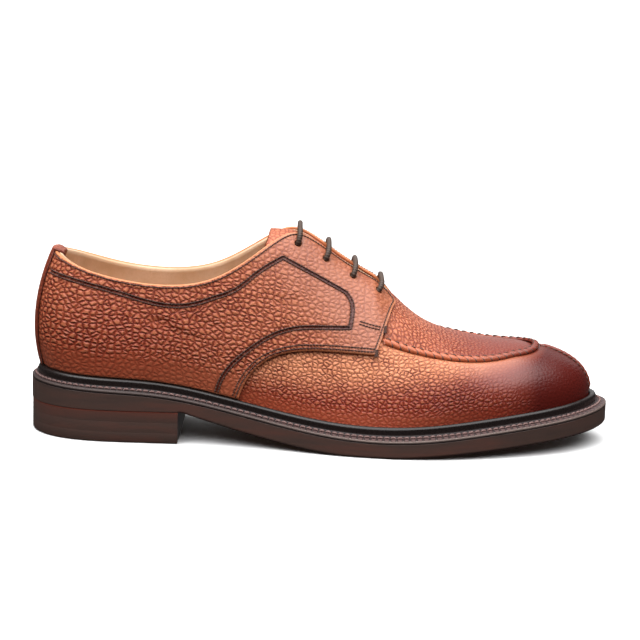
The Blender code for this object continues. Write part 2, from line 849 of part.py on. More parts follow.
def main():
    clear_scene()
    make_heel()
    make_outsole()
    make_welt()
    make_insole()
    make_upper()
    make_tongue()
    make_quarter("outer", finish("outer_quarter_leather", (0.42, 0.11, 0.05), 0.4))
    make_quarter("inner", finish("inner_quarter_leather", (0.43, 0.115, 0.052), 0.4))
    make_back_strip()
    make_apron_seam()
    make_toe_seam()
    for index, (x, inset) in enumerate(EYELET_ROWS, 1):
        make_lace_bar(index, x, inset)


main()
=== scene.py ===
"""Looks of the split-toe derby shoe: grained leather, sewn lines, welt, sole edge and lace.

The sizes repeat those of the solids, in millimetres, in the same frame: +X to the toe, +Y to the
inner side, +Z up. Every fine piece is drawn from the same feather line and sections as its solid.
"""

import math

import bmesh
import bpy
import numpy as np
from mathutils import Matrix, Vector
from mathutils.kdtree import KDTree


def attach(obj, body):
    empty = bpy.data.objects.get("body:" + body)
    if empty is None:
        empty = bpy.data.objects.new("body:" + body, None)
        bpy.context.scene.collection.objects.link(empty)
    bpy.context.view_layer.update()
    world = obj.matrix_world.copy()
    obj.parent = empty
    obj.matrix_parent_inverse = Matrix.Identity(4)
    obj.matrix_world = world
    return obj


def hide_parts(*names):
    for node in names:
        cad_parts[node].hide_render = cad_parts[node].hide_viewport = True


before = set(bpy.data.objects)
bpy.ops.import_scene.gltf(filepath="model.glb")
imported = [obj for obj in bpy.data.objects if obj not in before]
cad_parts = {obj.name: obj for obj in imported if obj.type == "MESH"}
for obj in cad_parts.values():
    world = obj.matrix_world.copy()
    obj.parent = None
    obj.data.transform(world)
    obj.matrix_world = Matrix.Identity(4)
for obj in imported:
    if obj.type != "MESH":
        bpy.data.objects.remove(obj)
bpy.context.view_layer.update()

MM = 0.001
SIDES = ("outer", "inner")

# Layers and gaps of the solids.
GAP = 0.35
LAP = 0.45
WALL = 2.0
QUARTER = 1.6
STRIP = 1.2
TONGUE = 1.8
INSOLE = 3.2
INSOLE_PLAY = 0.55
INSOLE_ROUND = 0.9
LACE = 2.8

HEEL_CORE = -115.0
TOE_CORE = 100.0
BREAST = -71.5
THROAT_FRONT = 36.0
THROAT_ROUND = 11.0

HEEL_TIP = (-139.4, -1.0)
TOE_TIP = (141.5, 4.5)
FEATHER_ROWS = (
    # x, outer, inner
    (-134.5, 15.2, 13.2),
    (-123.0, 24.0, 22.0),
    (-105.0, 27.6, 25.6),
    (-80.0, 28.0, 25.0),
    (-55.0, 29.6, 22.4),
    (-30.0, 33.4, 22.2),
    (-5.0, 39.0, 27.0),
    (20.0, 43.5, 36.0),
    (45.0, 45.0, 43.0),
    (65.0, 43.5, 45.0),
    (85.0, 39.0, 42.5),
    (105.0, 32.0, 36.4),
    (122.0, 23.4, 28.4),
    (134.5, 12.4, 18.6),
)
PLAN_COLUMNS = "x core margin bead"
PLAN_ROWS = (
    (-139.5, -1.0, 10.8, 7.8),
    (-128.0, -1.0, 9.0, 6.4),
    (-105.0, -0.9, 7.7, 5.4),
    (-80.0, -0.7, 7.6, 5.2),
    (-55.0, -0.3, 7.4, 5.0),
    (-35.0, 0.3, 7.3, 4.5),
    (0.0, 1.5, 7.8, 4.1),
    (40.0, 4.0, 9.0, 4.0),
    (80.0, 6.0, 9.2, 4.0),
    (100.0, 5.5, 9.4, 4.2),
    (142.0, 4.5, 10.4, 4.8),
)
SECTION_COLUMNS = (
    "x top outer_edge inner_edge outer_swell inner_swell rise outer_shoulder inner_shoulder drop")
SECTION_ROWS = (
    (-140.0, 93.6, 21.8, 21.8, 10.2, 10.2, 19.5, 31.4, 31.4, 21.0),
    (-128.0, 89.4, 22.4, 22.4, 8.2, 8.2, 19.5, 30.4, 30.4, 20.0),
    (-115.0, 85.4, 23.8, 24.0, 6.8, 7.0, 19.0, 30.4, 30.8, 19.0),
    (-95.0, 81.6, 25.4, 25.8, 6.5, 6.9, 18.5, 30.8, 31.4, 18.0),
    (-75.0, 80.8, 26.6, 27.0, 6.4, 7.2, 18.0, 31.4, 32.2, 17.5),
    (-55.0, 84.8, 26.0, 26.2, 5.8, 8.3, 18.0, 31.4, 32.2, 18.5),
    (-38.0, 94.2, 21.6, 22.0, 5.0, 8.5, 17.5, 30.8, 31.6, 20.0),
    (-25.0, 102.6, 14.6, 14.8, 4.4, 7.8, 17.0, 28.2, 28.6, 17.0),
    (-15.0, 105.6, 9.5, 9.5, 3.7, 6.6, 16.5, 26.6, 26.6, 12.8),
    (-5.0, 101.4, 7.9, 7.9, 3.2, 5.4, 16.0, 26.6, 26.4, 11.2),
    (10.0, 91.1, 7.5, 7.5, 2.8, 4.0, 15.0, 28.6, 27.6, 9.5),
    (25.0, 82.3, 7.5, 7.5, 2.6, 3.2, 15.0, 31.5, 28.8, 7.6),
    (36.0, 75.2, 7.5, 7.5, 2.8, 3.0, 16.0, 36.0, 30.5, 5.8),
    (50.0, 63.6, 7.5, 7.5, 3.2, 3.0, 18.0, 43.0, 33.0, 3.2),
    (70.0, 54.9, 7.5, 7.5, 3.3, 3.0, 19.0, 45.5, 35.5, 1.3),
    (90.0, 51.3, 7.5, 7.5, 3.2, 3.0, 19.0, 40.0, 32.5, 0.8),
    (100.0, 50.7, 7.5, 7.5, 3.4, 3.2, 19.0, 36.5, 30.0, 0.8),
    (120.0, 50.7, 7.5, 7.5, 4.2, 4.2, 18.0, 33.0, 29.5, 1.1),
    (142.0, 50.7, 7.5, 7.5, 4.8, 4.8, 16.5, 34.0, 34.0, 1.6),
)
SEAT_ROWS = (
    (-151.0, 27.0), (-130.0, 26.0), (-110.0, 25.2), (-90.0, 24.3), (-70.0, 22.0),
    (-46.0, 17.4), (-18.0, 12.0), (10.0, 8.3), (32.0, 7.4), (52.0, 8.2),
    (71.0, 10.1), (92.0, 12.5), (113.0, 14.8), (153.0, 19.4),
)
HEEL_HEIGHT = 16.5
ARCH_BACK = -70.5
ARCH_FRONT = 15.0
ARCH_CURVE = 1.6
SPRING_BACK = 38.0
SPRING_FRONT = 152.0
SPRING_CURVE = 1.15
TOE_SPRING = 10.4
SOLE_BEVEL = 0.15
SOLE_ROUND = 1.3
HEEL_ROUND = 0.8
HEEL_INSET = 0.3
# Heights of the grooves between the heel's lifts, their depth, the gap under the sole, and half the height
# of a groove at its mouth and at its floor.
HEEL_LIFTS = (5.3, 10.7)
LIFT_GROOVE = 0.012
HEEL_JOIN = 0.08
GROOVE_HALF = 0.15
GROOVE_FLOOR = 0.05
# The heel's top rows, each set in and below its top, and the heights where its joint's colour comes in.
HEEL_TOP_ROWS = ((0.0, 0.9), (0.0, 0.3), (0.0, 0.1), (0.1, 0.0))
HEEL_JOINED = (HEEL_HEIGHT - 1.2, HEEL_HEIGHT - 0.5)
# How far on each side of the breast the tread's round edge comes in.
SOLE_BLEND = 3

SHELF = 1.7
SHELF_FALL = 1.5
WELT_BEVEL = 0.5
WELT_JOINT = 0.06
WELT_PITCH = 3.3
BEAD_TOP = 7.4
BEAD_ROUND = 1.4
BEAD_FLAT = 0.95
WELT_GROOVE = 0.25
# Where the welt's stitches run, as a share of the shelf from the bead to the edge.
WELT_LINE = 0.42
# The height of the welt's back, the angle where the bead ends, the shelf's first share, and the painted
# highlight on the rows at its edge.
WELT_BACK = 3.0
BEAD_TURNED = -0.15
SHELF_START = 0.12
WELT_RIM_HIGHLIGHT = (0.3, 1.0, 0.8)

QUARTER_BACK = -41.0
QUARTER_CORNER = 27.75
QUARTER_FRONT = 38.0
QUARTER_LIFT = 0.6
LOWER_ROWS = (
    (-41.0, 24.4), (-39.5, 29.0), (-36.5, 35.2), (-32.0, 40.8), (-26.0, 45.2),
    (-14.0, 49.0), (-4.0, 49.8), (10.0, 49.4), (27.75, 48.4),
)
FRONT_ROWS = ((27.75, 48.4), (30.5, 56.0), (33.25, 63.6), (36.0, 69.0), (38.0, 71.4))
FACING_EDGE = 7.5
FACING_ROUND = 7.0
BACK_MEETING = 0.3
BACK_STRIP = 7.6
# The strip's fold over the collar: how far inside the wall it ends, its thickness there, its height, and
# the share of the arc where it ends.
STRIP_TURNED = 1.0
FOLD_THICK = 0.35
FOLD_HEIGHT = 1.3
FOLD_END = 0.88
# How much of its thickness the strip loses at its sides, and how late.
STRIP_CROWN = 0.35
STRIP_CROWN_CURVE = 6

EYELET_ROWS = ((-13.6, 4.6), (0.6, 5.6), (14.8, 6.0), (28.0, 6.2))
EYELET_RADIUS = 2.0
EYELET_SIDES = 28
PUNCH_LENGTH = 6.0
# A lace bar: how far it rises over the throat, how deep it goes into an eyelet, how far it stays off the
# facing, and the share of the way to the facing's edge where it has bent over.
LACE_ARCH = 0.7
LACE_DEPTH = 0.6
LACE_CLEAR = 0.35
LACE_BEND = 0.35

APRON_ROWS = (
    # x, height on the outer wall, height on the inner wall
    (33.0, 55.0, 60.5), (41.0, 52.6, 57.6), (55.0, 49.2, 53.6), (69.0, 47.0, 50.6),
    (81.0, 46.2, 48.6), (92.0, 46.6, 47.8), (100.0, 47.6, 47.8),
)
APRON_BACK = {"outer": 31.5, "inner": 37.5}
APRON_FRONT = 13.4
# The leather beside the apron seam: height, distance inside the seam and width of each swell.
APRON_DIP = (-0.75, 0.0, 3.4)
VAMP_SWELL = (0.3, -4.5, 3.0)
SEAM_GROOVE = (-0.45, -1.4, 1.0)
# The crown of the vamp is rounded off over this half width.
CROWN_HALF = 9.0
# How close the apron's grain is along and across, beside that of the vamp.
APRON_ALONG = 1.25
APRON_ACROSS = 0.95
# The raised seams: half width, height, pitch of the stitches and how far they draw it in.
APRON_SEAM = {"half": 1.8, "high": 1.9, "pitch": 4.35, "notch": 0.42}
TOE_SEAM = {"half": 1.5, "high": 1.5, "pitch": 3.0, "notch": 0.22}
TOE_SEAM_GAP = 2.6
SEAM_SLANT = 0.32
SEAM_FADE = 2.5
# Height of the ridge at its sides, and how deep it goes into the leather.
SEAM_FOOT = 0.12
SEAM_ROOT = 0.25
TONGUE_ROWS = (
    # x, crest, half width
    (-31.0, 107.0, 17.0), (-24.0, 107.0, 20.0), (-15.0, 106.6, 21.0), (-5.0, 102.5, 21.0),
    (5.0, 95.7, 21.0), (15.0, 88.8, 21.0), (25.0, 81.6, 20.0), (32.0, 74.8, 18.0),
    (36.0, 70.8, 17.0), (40.0, 67.0, 16.0), (44.0, 63.6, 15.0),
)
# How far the tongue reaches under the facings at least, and where its dome starts inside their edge.
TONGUE_COVERED = 3.0
TONGUE_FLANK = 1.2
# Its free end: where it starts and where it is full, how far its middle is scooped out and its sides
# stand over, and the height of its wave.
TONGUE_FREE = (-14, -31)
TONGUE_SCOOP = 5.5
TONGUE_OVER = 1.5
TONGUE_WAVE = 0.5

# Sewn lines on the quarters, as x and z on the wall.
COUNTER_LOWER = ((-52.5, 27.0), (-51.5, 31.0), (-46.0, 41.0), (-37.0, 49.5), (-26.0, 57.0), (-12.0, 61.5),
                 (2.0, 62.0), (14.5, 62.0))
COUNTER_FRONT = ((14.5, 62.0), (15.5, 68.5), (15.0, 74.0), (12.0, 78.5))
COUNTER_FACING = ((12.0, 78.5), (-2.0, 86.0), (-20.5, 95.5))
COUNTER_COLLAR = ((-20.5, 95.5), (-34.0, 87.5), (-44.5, 79.5), (-55.0, 75.5), (-62.0, 73.0), (-74.5, 71.0),
                  (-85.0, 72.0), (-99.5, 75.5), (-113.5, 79.0), (-128.0, 82.0), (-140.0, 84.0))
TAB_LINE = ((19.0, 64.5), (24.5, 63.0), (31.0, 61.5))
TAB_APART = 1.6
ROW_APART = 1.7
SEWN_TROUGH = 0.42
EDGE_ROW = 1.6
STITCH_PITCH = 1.6
STITCH_DIP = 0.35
# How far short of a seam's end its last stitch stops, and how far the toe's stitches lie from their seam.
DASH_END = 1.0
TOE_STITCHES = 1.9
# Height of a stitch at its five points, and of a bar tack's thread.
STITCH_BOW = np.array((-0.32, 0.12, 0.2, 0.12, -0.32))
TACK_BOW = np.array((-0.2, 0.3, 0.42, 0.3, -0.2))
# A point well inside the quarter, which the rows along its edges are set in towards.
QUARTER_HEART = (-5.0, 70.0)
# Bar tacks at the facing's foot: x and z of the middle, and how far its threads lean.
BAR_TACKS = ((32.3, 61.0, 0.4), (28.0, 50.2, 0.2))
TACK_THREADS = 6
TACK_APART = 0.55

# Soft creases of the quarters: x and z of both ends, depth and width.
CREASES = (
    (-93.0, 67.0, -76.0, 61.0, 0.35, 2.4),
    (-82.0, 64.0, -62.0, 52.0, 0.45, 2.6),
    (-66.0, 68.0, -50.0, 58.0, 0.25, 2.8),
    (-30.0, 78.0, -12.0, 72.0, 0.2, 3.0),
)
# How far a crease sways to its sides, and how much of a wave it makes along its length.
CREASE_SWAY = 1.2
CREASE_TURN = 5.0

# Changes of look. Each has the place where it starts and the place where it is full: an x, a height above
# the seat or the bead, a distance from an edge, or a slanted line in x and z.
TOE_BURNISH = (86, 136)
TOE_MATT = (96, 118)
# Along x, how strongly painted shade darkens the vamp's lower wall.
LOW_WALL_SHADE_ALONG = (10, 80)
FRONT_BURNISH = (45, 75)
VAMP_HEM = (17, 10)
HEM_ALONG = (100, 60)
HEM_POLISH = (18, 9)
WALL_POLISH = (52, 96)
APRON_START = (16, 22)
APRON_RED = (45, 90)
APRON_BURNISH = (45, 105)
APRON_SMOOTH = (62, 104)
APRON_GLOSS = (50, 95)
SEAM_BURNISH = (60, 112)
FACING_POLISH = (-40, 22)
FACING_TAN = (-45, 20)
QUARTER_HEM = (19, 8)
UPPER_RAW = (1.3, 0.6)
LOWER_RAW = (1.0, 0.4)
WELT_MARKS = (-70, 30)
# The red patch on the heel's side: its middle and width in x and in z. Widths of the dark along seams.
HEEL_RED_X = (-108, 62)
HEEL_RED_Z = (52, 30)
SEAM_TONE_WIDTH = 3.2
SEWN_TONE_WIDTH = 1.1

# How finely the sheets are drawn. A stretch has its two ends, its count and whether its far end is counted.
THROAT_BACK = THROAT_FRONT - THROAT_ROUND
SIDE_STRETCHES = (
    (HEEL_CORE, BREAST, 22, False),
    (BREAST, THROAT_BACK, 62, False),
    (THROAT_BACK, THROAT_FRONT, 22, False),
    (THROAT_FRONT, TOE_CORE, 46, True),
)
SIDE_HEEL_STEPS = 26
SIDE_TOE_STEPS = 44
QUARTER_STRETCHES = (
    (HEEL_CORE, QUARTER_BACK - 6, 90, False),
    (QUARTER_BACK - 6, QUARTER_BACK - 0.01, 8, True),
    (QUARTER_BACK, QUARTER_BACK + 16, 40, False),
    (QUARTER_BACK + 16, QUARTER_CORNER - 4, 62, False),
    (QUARTER_CORNER - 4, QUARTER_CORNER - 0.01, 8, True),
    (QUARTER_CORNER + 0.01, QUARTER_FRONT, 34, True),
)
QUARTER_HEEL_STEPS = 34
UPPER_ROWS = 100
LINING_ROWS = 30
QUARTER_ROWS = 140
QUARTER_BACK_ROWS = 8
COLUMN_STEPS = 40
EDGE_STEPS = 7
EDGE_SHARE = 0.004
STRIP_COLUMNS = 33
STRIP_ROWS = 60
STRIP_SOLE_SKIP = 8
FOLD_STEPS = 13
FOLD_INSIDE_STEPS = 8
FOLD_UNDER_STEPS = 4
APRON_STEPS = 120
TONGUE_STEPS = 90
FLANK_STEPS = 14
LACE_STEPS = 80
LACE_SIDES = 16
WELT_STEP = 0.55
BEAD_STEPS = 15
SHELF_STEPS = 9
SOLE_WALL_STEPS = 12
SOLE_ROUND_STEPS = 7
# Shares of the way in to the core at which the flat faces have rows.
SOLE_TOP_SHARES = (1.0, 0.4, 0.0)
SOLE_TREAD_SHARES = (0.06, 0.2, 0.45, 0.75, 1.0)
INSOLE_SHARES = (0, 0.3, 0.65, 1.0)
TOE_SEAM_STEPS = 60
SEAM_STEP = 0.3
SEAM_SIDES = 15
STITCH_POINTS = 5
CLIMB_STEPS = 80
HALVINGS = 40
# A row set in from an edge: its step, and the share of its distance that its points keep from the edge.
INSET_STEP = 0.4
INSET_KEPT = 0.96
# A quarter ends where its edges are closer than this share of the arc.
LEAST_SPAN = 0.012
# The least length of a quarter's column, and the most that each rounded edge takes of it.
LEAST_LENGTH = 0.001
MOST_RIM = 0.3
# A face of the sole whose normal lies below this belongs to the tread.
FACES_DOWN = -0.8
# Points closer together than this are one point.
WELD = 0.004
# Normals: the steps along and up that they are taken over, and the shares that they stop short at.
NORMAL_STEP = 0.2
NORMAL_SHARE = 0.001
TOE_REACH = 60.0
TOE_STOP = 0.985
TOP_STOP = 0.999
# Below this height a point of an arc counts as wide, because the arc first swells out.
LOW_WALL = 24.0
# Edges that turn by more than this stay sharp, on the sole and on the punched quarters.
SHARP_EDGE = math.radians(40)
PUNCHED_EDGE = math.radians(50)

# The camera, in millimetres and radians, with its focal length in pixels of a 640-pixel frame.
CAMERA = {"at": (-11.0, -976.1, 248.8), "yaw": -0.0107, "pitch": 0.1913, "roll": 0.0311, "focal": 1901.3}
FRAME_PIXELS = 640.0
SENSOR = 36.0
NEAREST = 0.01
FARTHEST = 100.0
# The soft box: the way to it, the angles where its edge fades, and the brightness outside and in it.
SOFT_BOX_FROM = (0.0, -0.25, 0.97)
SOFT_BOX_EDGE = (52, 38)
SURROUND = (0.06, 4.0)
# The lights beside it: the way to each, the angle that it covers and its power.
LIGHTS = {"key": ((-0.5, -0.4, 1.0), 30, 0.6), "back": ((0.1, 0.88, 0.42), 56, 0.45)}
# The floor, in metres: half its side, and how far it lies under the sole so that both don't touch.
FLOOR_HALF = 30.0
FLOOR_DROP = 0.0002


class Spline:
    """A smooth curve through values at knots, read at one knot or many."""

    def __init__(self, knots, values, closed=False):
        self.knots = np.array(knots, float)
        self.values = np.array(values, float)
        self.closed = closed
        count = len(self.knots)
        step = np.diff(self.knots)
        slope = np.diff(self.values, axis=0) / step[:, None]
        system = np.eye(count)
        right = np.zeros_like(self.values)
        for i in range(1, count - 1):
            system[i, i - 1:i + 2] = step[i - 1], 2 * (step[i - 1] + step[i]), step[i]
            right[i] = 6 * (slope[i] - slope[i - 1])
        if closed:
            system[0, -1] = -1
            system[-1, -2] = step[-1]
            system[-1, -1] = 2 * (step[-1] + step[0])
            system[-1, 1] = step[0]
            right[-1] = 6 * (slope[0] - slope[-1])
        self.bend = np.linalg.solve(system, right)

    def at(self, knot):
        knot = np.asarray(knot, float)
        first, last = self.knots[0], self.knots[-1]
        knot = first + (knot - first) % (last - first) if self.closed else np.clip(knot, first, last)
        i = np.clip(np.searchsorted(self.knots, knot) - 1, 0, len(self.knots) - 2)
        step = (self.knots[i + 1] - self.knots[i])[..., None]
        a = (self.knots[i + 1] - knot)[..., None] / step
        b = 1 - a
        straight = a * self.values[i] + b * self.values[i + 1]
        curved = (a ** 3 - a) * self.bend[i] + (b ** 3 - b) * self.bend[i + 1]
        return straight + curved * step ** 2 / 6


class Table:
    """Sizes at stations along the shoe, read by name."""

    def __init__(self, columns, rows):
        self.names = columns.split()[1:]
        self.curve = Spline([row[0] for row in rows], [row[1:] for row in rows])

    def at(self, name, x):
        return self.curve.at(x)[..., self.names.index(name)]


class Feather:
    """The feather line, from the heel tip along the outer side to the toe and back."""

    SAMPLES = 4000
    SHORT = 1e-6
    STEP = 0.1

    def __init__(self):
        outer = [(x, -far) for x, far, _ in FEATHER_ROWS]
        inner = [(x, far) for x, _, far in FEATHER_ROWS]
        points = np.array([HEEL_TIP, *outer, TOE_TIP, *reversed(inner), HEEL_TIP])
        run = run_length(points)
        self.curve = Spline(run, points, closed=True)
        self.length = float(run[-1])
        self.toe = float(run[len(outer) + 1])
        ends = {"outer": 0.0, "inner": self.length - self.SHORT}
        self.places = {side: np.linspace(end, self.toe, self.SAMPLES) for side, end in ends.items()}
        self.xs = {side: self.x(places) for side, places in self.places.items()}

    def is_outer(self, place):
        return np.asarray(place) % self.length <= self.toe

    def x(self, place):
        return self.curve.at(place)[..., 0]

    def place(self, side, x):
        return np.interp(x, self.xs[side], self.places[side])

    def heel(self, side):
        return 0.0 if side == "outer" else self.length

    def out(self, place):
        place = np.asarray(place)
        ahead = unit(self.curve.at(place + self.STEP) - self.curve.at(place - self.STEP))
        return np.stack((ahead[..., 1], -ahead[..., 0]), -1)


def run_length(points):
    """Length along a line of points, from its start to each point."""
    return np.concatenate(([0], np.cumsum(np.linalg.norm(np.diff(points, axis=0), axis=1))))


def between(at, run, values):
    """Values read at lengths along a line, where run is the length at each of its points."""
    return np.stack([np.interp(at, run, values[:, k]) for k in range(3)], 1)


def across_line(points, normals):
    """Directions across a line that lies on a surface with the given normals."""
    return unit(np.cross(np.gradient(points, axis=0), normals))


def search_tree(points):
    """A tree that finds the nearest of some points."""
    tree = KDTree(len(points))
    for i, point in enumerate(points):
        tree.insert(point, i)
    tree.balance()
    return tree


def spaced(stretches):
    """Values over stretches, as the values above describe them."""
    return np.concatenate([np.linspace(start, end, count, endpoint=closed)
                           for start, end, count, closed in stretches])


def unit(vectors):
    return vectors / np.maximum(np.linalg.norm(vectors, axis=-1, keepdims=True), 1e-9)


def smooth(low, high, value):
    """A soft step from 0 at low to 1 at high."""
    t = np.clip((value - low) / (high - low), 0, 1)
    return t * t * (3 - 2 * t)


def hump(value, centre, width):
    return np.exp(-((value - centre) / width) ** 2)


def swell(value, height, centre, width):
    return height * hump(value, centre, width)


feather = Feather()
plan = Table(PLAN_COLUMNS, PLAN_ROWS)
sections = Table(SECTION_COLUMNS, SECTION_ROWS)
seat = Table("x seat", SEAT_ROWS)
lower_edge = Table("x low", LOWER_ROWS)
front_edge = Table("x low", FRONT_ROWS)
apron = Table("x outer inner", APRON_ROWS)
tongue_sizes = Table("x crest half", TONGUE_ROWS)


def seat_at(x):
    """Height of the outsole's upper face."""
    return seat.at("seat", x)


def underside(x):
    """Height of the outsole's lower face."""
    arch = HEEL_HEIGHT * (np.clip(ARCH_FRONT - x, 0, None) / (ARCH_FRONT - ARCH_BACK)) ** ARCH_CURVE
    spring = TOE_SPRING * (np.clip(x - SPRING_BACK, 0, None) / (SPRING_FRONT - SPRING_BACK)) ** SPRING_CURVE
    return np.where(x < ARCH_BACK, HEEL_HEIGHT, np.where(x < ARCH_FRONT, arch, spring))


def core_point(x):
    x = np.clip(x, HEEL_CORE, TOE_CORE)
    return np.stack((x, plan.at("core", x)), -1)


def edge_half(outer, x):
    """Half width at the top edge: the collar, then the throat, which narrows to its front end."""
    half = np.where(outer, sections.at("outer_edge", x), sections.at("inner_edge", x))
    along = np.clip((x - THROAT_BACK) / THROAT_ROUND, 0, 1)
    return half * (1 + np.cos(np.pi * along)) / 2


def controls(places):
    """The four control points of the arc at each place, as an array of places by four by three."""
    places = np.asarray(places, float)
    outer = feather.is_outer(places)
    foot = feather.curve.at(places)
    x = foot[:, 0]
    core = core_point(x)
    out = unit(foot - core)
    low = seat_at(x) + GAP
    top = sections.at("top", np.minimum(x, TOE_CORE))
    swell = np.where(outer, sections.at("outer_swell", x), sections.at("inner_swell", x))
    shoulder = np.where(outer, sections.at("outer_shoulder", x), sections.at("inner_shoulder", x))
    flat = (foot, foot + out * swell[:, None], core + out * shoulder[:, None],
            core + out * edge_half(outer, x)[:, None])
    heights = (low, low + sections.at("rise", x), top - sections.at("drop", x), top)
    return np.stack([np.column_stack((xy, z)) for xy, z in zip(flat, heights)], 1)


def arc(control, t):
    """Points of the arcs at shares t, the same for every place or one row for each."""
    t = np.asarray(t, float)
    weights = np.stack(((1 - t) ** 3, 3 * (1 - t) ** 2 * t, 3 * (1 - t) * t * t, t ** 3), -1)
    return np.einsum("mk,nkd->nmd" if t.ndim == 1 else "nmk,nkd->nmd", weights, control)


def skin_normal(places, t):
    """Outward normals, taken a little short of the point where the toe's sections meet."""
    places = np.asarray(places, float)
    t = np.broadcast_to(t, (len(places), np.shape(t)[-1]))
    stop = np.where(abs(places - feather.toe) < TOE_REACH, TOE_STOP, TOP_STOP)[:, None]
    t = np.minimum(np.maximum(t, NORMAL_SHARE), stop)
    round_foot = arc(controls(places + NORMAL_STEP), t) - arc(controls(places - NORMAL_STEP), t)
    here = controls(places)
    climb = arc(here, t + NORMAL_SHARE) - arc(here, t - NORMAL_SHARE)
    return unit(np.cross(round_foot, climb))


def skin(places, t, lift=0.0):
    """Points on the outside of the upper, lifted off it, and the normals there."""
    normal = skin_normal(places, t)
    return arc(controls(places), t) + np.asarray(lift)[..., None] * normal, normal


def climb_length(places, t):
    """Length up each arc from its foot to the shares t."""
    steps = np.linspace(0, 1, CLIMB_STEPS)
    line = arc(controls(places), steps)
    climbed = np.cumsum(np.linalg.norm(np.diff(line, axis=1), axis=-1), 1)
    t = np.broadcast_to(t, (len(places), np.shape(t)[-1]))
    return np.array([np.interp(share, steps[1:], run) for share, run in zip(t, climbed)])


def share_where(places, test):
    """The share up each arc where a test of its points, places by one by three, first fails."""
    low = np.zeros(len(places))
    high = np.ones(len(places))
    control = controls(places)
    for _ in range(HALVINGS):
        middle = (low + high) / 2
        below = test(arc(control, middle[:, None])[:, 0])
        low = np.where(below, middle, low)
        high = np.where(below, high, middle)
    return low


def share_at_height(places, height):
    return share_where(np.atleast_1d(places), lambda point: point[:, 2] < height)


def share_at_half(places, half):
    places = np.atleast_1d(places)
    core = core_point(feather.x(places))

    def wide(point):
        return (np.linalg.norm(point[:, :2] - core, axis=1) > half) | (point[:, 2] < LOW_WALL)

    return share_where(places, wide)


def side_places(side):
    """Places along one side from the heel tip to the toe tip, both ends included."""
    middle = feather.place(side, spaced(SIDE_STRETCHES))
    heel = np.linspace(feather.heel(side), middle[0], SIDE_HEEL_STEPS, endpoint=False)
    front = np.linspace(middle[-1], feather.toe, SIDE_TOE_STEPS)[1:]
    return np.concatenate((heel, middle, front))


def loop_places():
    """All the places round the feather line, once."""
    return np.concatenate((side_places("outer"), side_places("inner")[1:-1][::-1]))


def margin(places):
    return plan.at("margin", feather.x(places))


def beyond(places, distance):
    """Points in plan, a distance out from the feather line."""
    return feather.curve.at(places) + feather.out(places) * np.asarray(distance)[..., None]


def plan_ring(places, distance, share, height):
    """Points a distance out from the feather line, then a share of the way in to the core, at a height."""
    points = beyond(places, distance)
    points = points + (core_point(feather.x(places)) - points) * share
    return np.column_stack((points, height(points[:, 0])))


def bead_line(places):
    return seat_at(feather.x(places)) + BEAD_TOP


# Mesh pieces


def add_piece(name, mesh_data, materials, replaces=()):
    """Put a mesh in the scene as a piece of the shoe."""
    for material in materials:
        mesh_data.materials.append(material)
    piece = bpy.data.objects.new(name, mesh_data)
    bpy.context.scene.collection.objects.link(piece)
    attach(piece, "root")
    if replaces:
        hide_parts(*replaces)
    return piece


def set_slots(data, slots):
    """Give the first faces of a mesh their material slots. The others keep the first slot."""
    indices = np.zeros(len(data.polygons), np.int32)
    indices[:len(slots)] = slots
    data.polygons.foreach_set("material_index", indices)


def grid_mesh(name, points, closed=False, caps=False, attributes=None, slots=None, weld=0.0, left_out=None):
    """A smooth mesh bridged from closed rows of points in millimetres, with named sizes at its points."""
    rows, count = points.shape[:2]
    index = np.arange(rows * count).reshape(rows, count)
    near = index if closed else index[:-1]
    far = np.roll(index, -1, 0) if closed else index[1:]
    faces = np.stack((near, far, np.roll(far, -1, 1), np.roll(near, -1, 1)), -1)
    face_slots = None
    if slots is not None:
        face_slots = np.broadcast_to(slots[:faces.shape[1]], faces.shape[:2]).ravel()
    if left_out is not None:
        faces = faces[~left_out]
        face_slots = face_slots[~left_out.ravel()]
    polygons = faces.reshape(-1, 4).tolist()
    if caps:
        polygons += [index[0].tolist(), index[-1].tolist()]
    data = bpy.data.meshes.new(name)
    data.from_pydata((points.reshape(-1, 3) * MM).tolist(), [], polygons)
    for key, values in (attributes or {}).items():
        layer = data.attributes.new(key, "FLOAT", "POINT")
        layer.data.foreach_set("value", np.broadcast_to(values, (rows, count)).astype(np.float32).ravel())
    if face_slots is not None:
        set_slots(data, face_slots)
    work = bmesh.new()
    work.from_mesh(data)
    if weld:
        bmesh.ops.remove_doubles(work, verts=work.verts, dist=weld * MM)
    bmesh.ops.recalc_face_normals(work, faces=work.faces)
    for face in work.faces:
        face.smooth = True
    work.to_mesh(data)
    work.free()
    return data


def tube_mesh(name, paths, radius, sides, squeeze=None):
    """Round strands along lines of points in millimetres, all in one mesh, with their length along."""
    verts, polygons, along = [], [], []
    turn = np.linspace(0, 2 * np.pi, sides, endpoint=False)
    for path in paths:
        ahead = unit(np.gradient(path, axis=0))
        guide = np.array((0.0, 0.0, 1.0)) if abs(ahead[0, 2]) < 0.8 else np.array((0.0, 1.0, 0.0))
        side = np.zeros_like(path)
        for i, step in enumerate(ahead):
            guide = unit(guide - step * np.dot(guide, step))
            side[i] = guide
        other = np.cross(ahead, side)
        run = run_length(path)
        size = radius * (np.ones(len(path)) if squeeze is None else squeeze(run))
        ring = side[:, None] * np.cos(turn)[:, None] + other[:, None] * np.sin(turn)[:, None]
        base = len(verts)
        verts += (path[:, None] + ring * size[:, None, None]).reshape(-1, 3).tolist()
        along += np.repeat(run, sides).tolist()
        for i in range(len(path) - 1):
            for k in range(sides):
                n = (k + 1) % sides
                a, b = base + i * sides, base + (i + 1) * sides
                polygons.append((a + k, a + n, b + n, b + k))
        polygons.append([base + k for k in reversed(range(sides))])
        polygons.append([base + (len(path) - 1) * sides + k for k in range(sides)])
    data = bpy.data.meshes.new(name)
    data.from_pydata((np.array(verts) * MM).tolist(), [], polygons)
    layer = data.attributes.new("along", "FLOAT", "POINT")
    layer.data.foreach_set("value", np.array(along, np.float32))
    data.polygons.foreach_set("use_smooth", np.ones(len(data.polygons), bool))
    return data


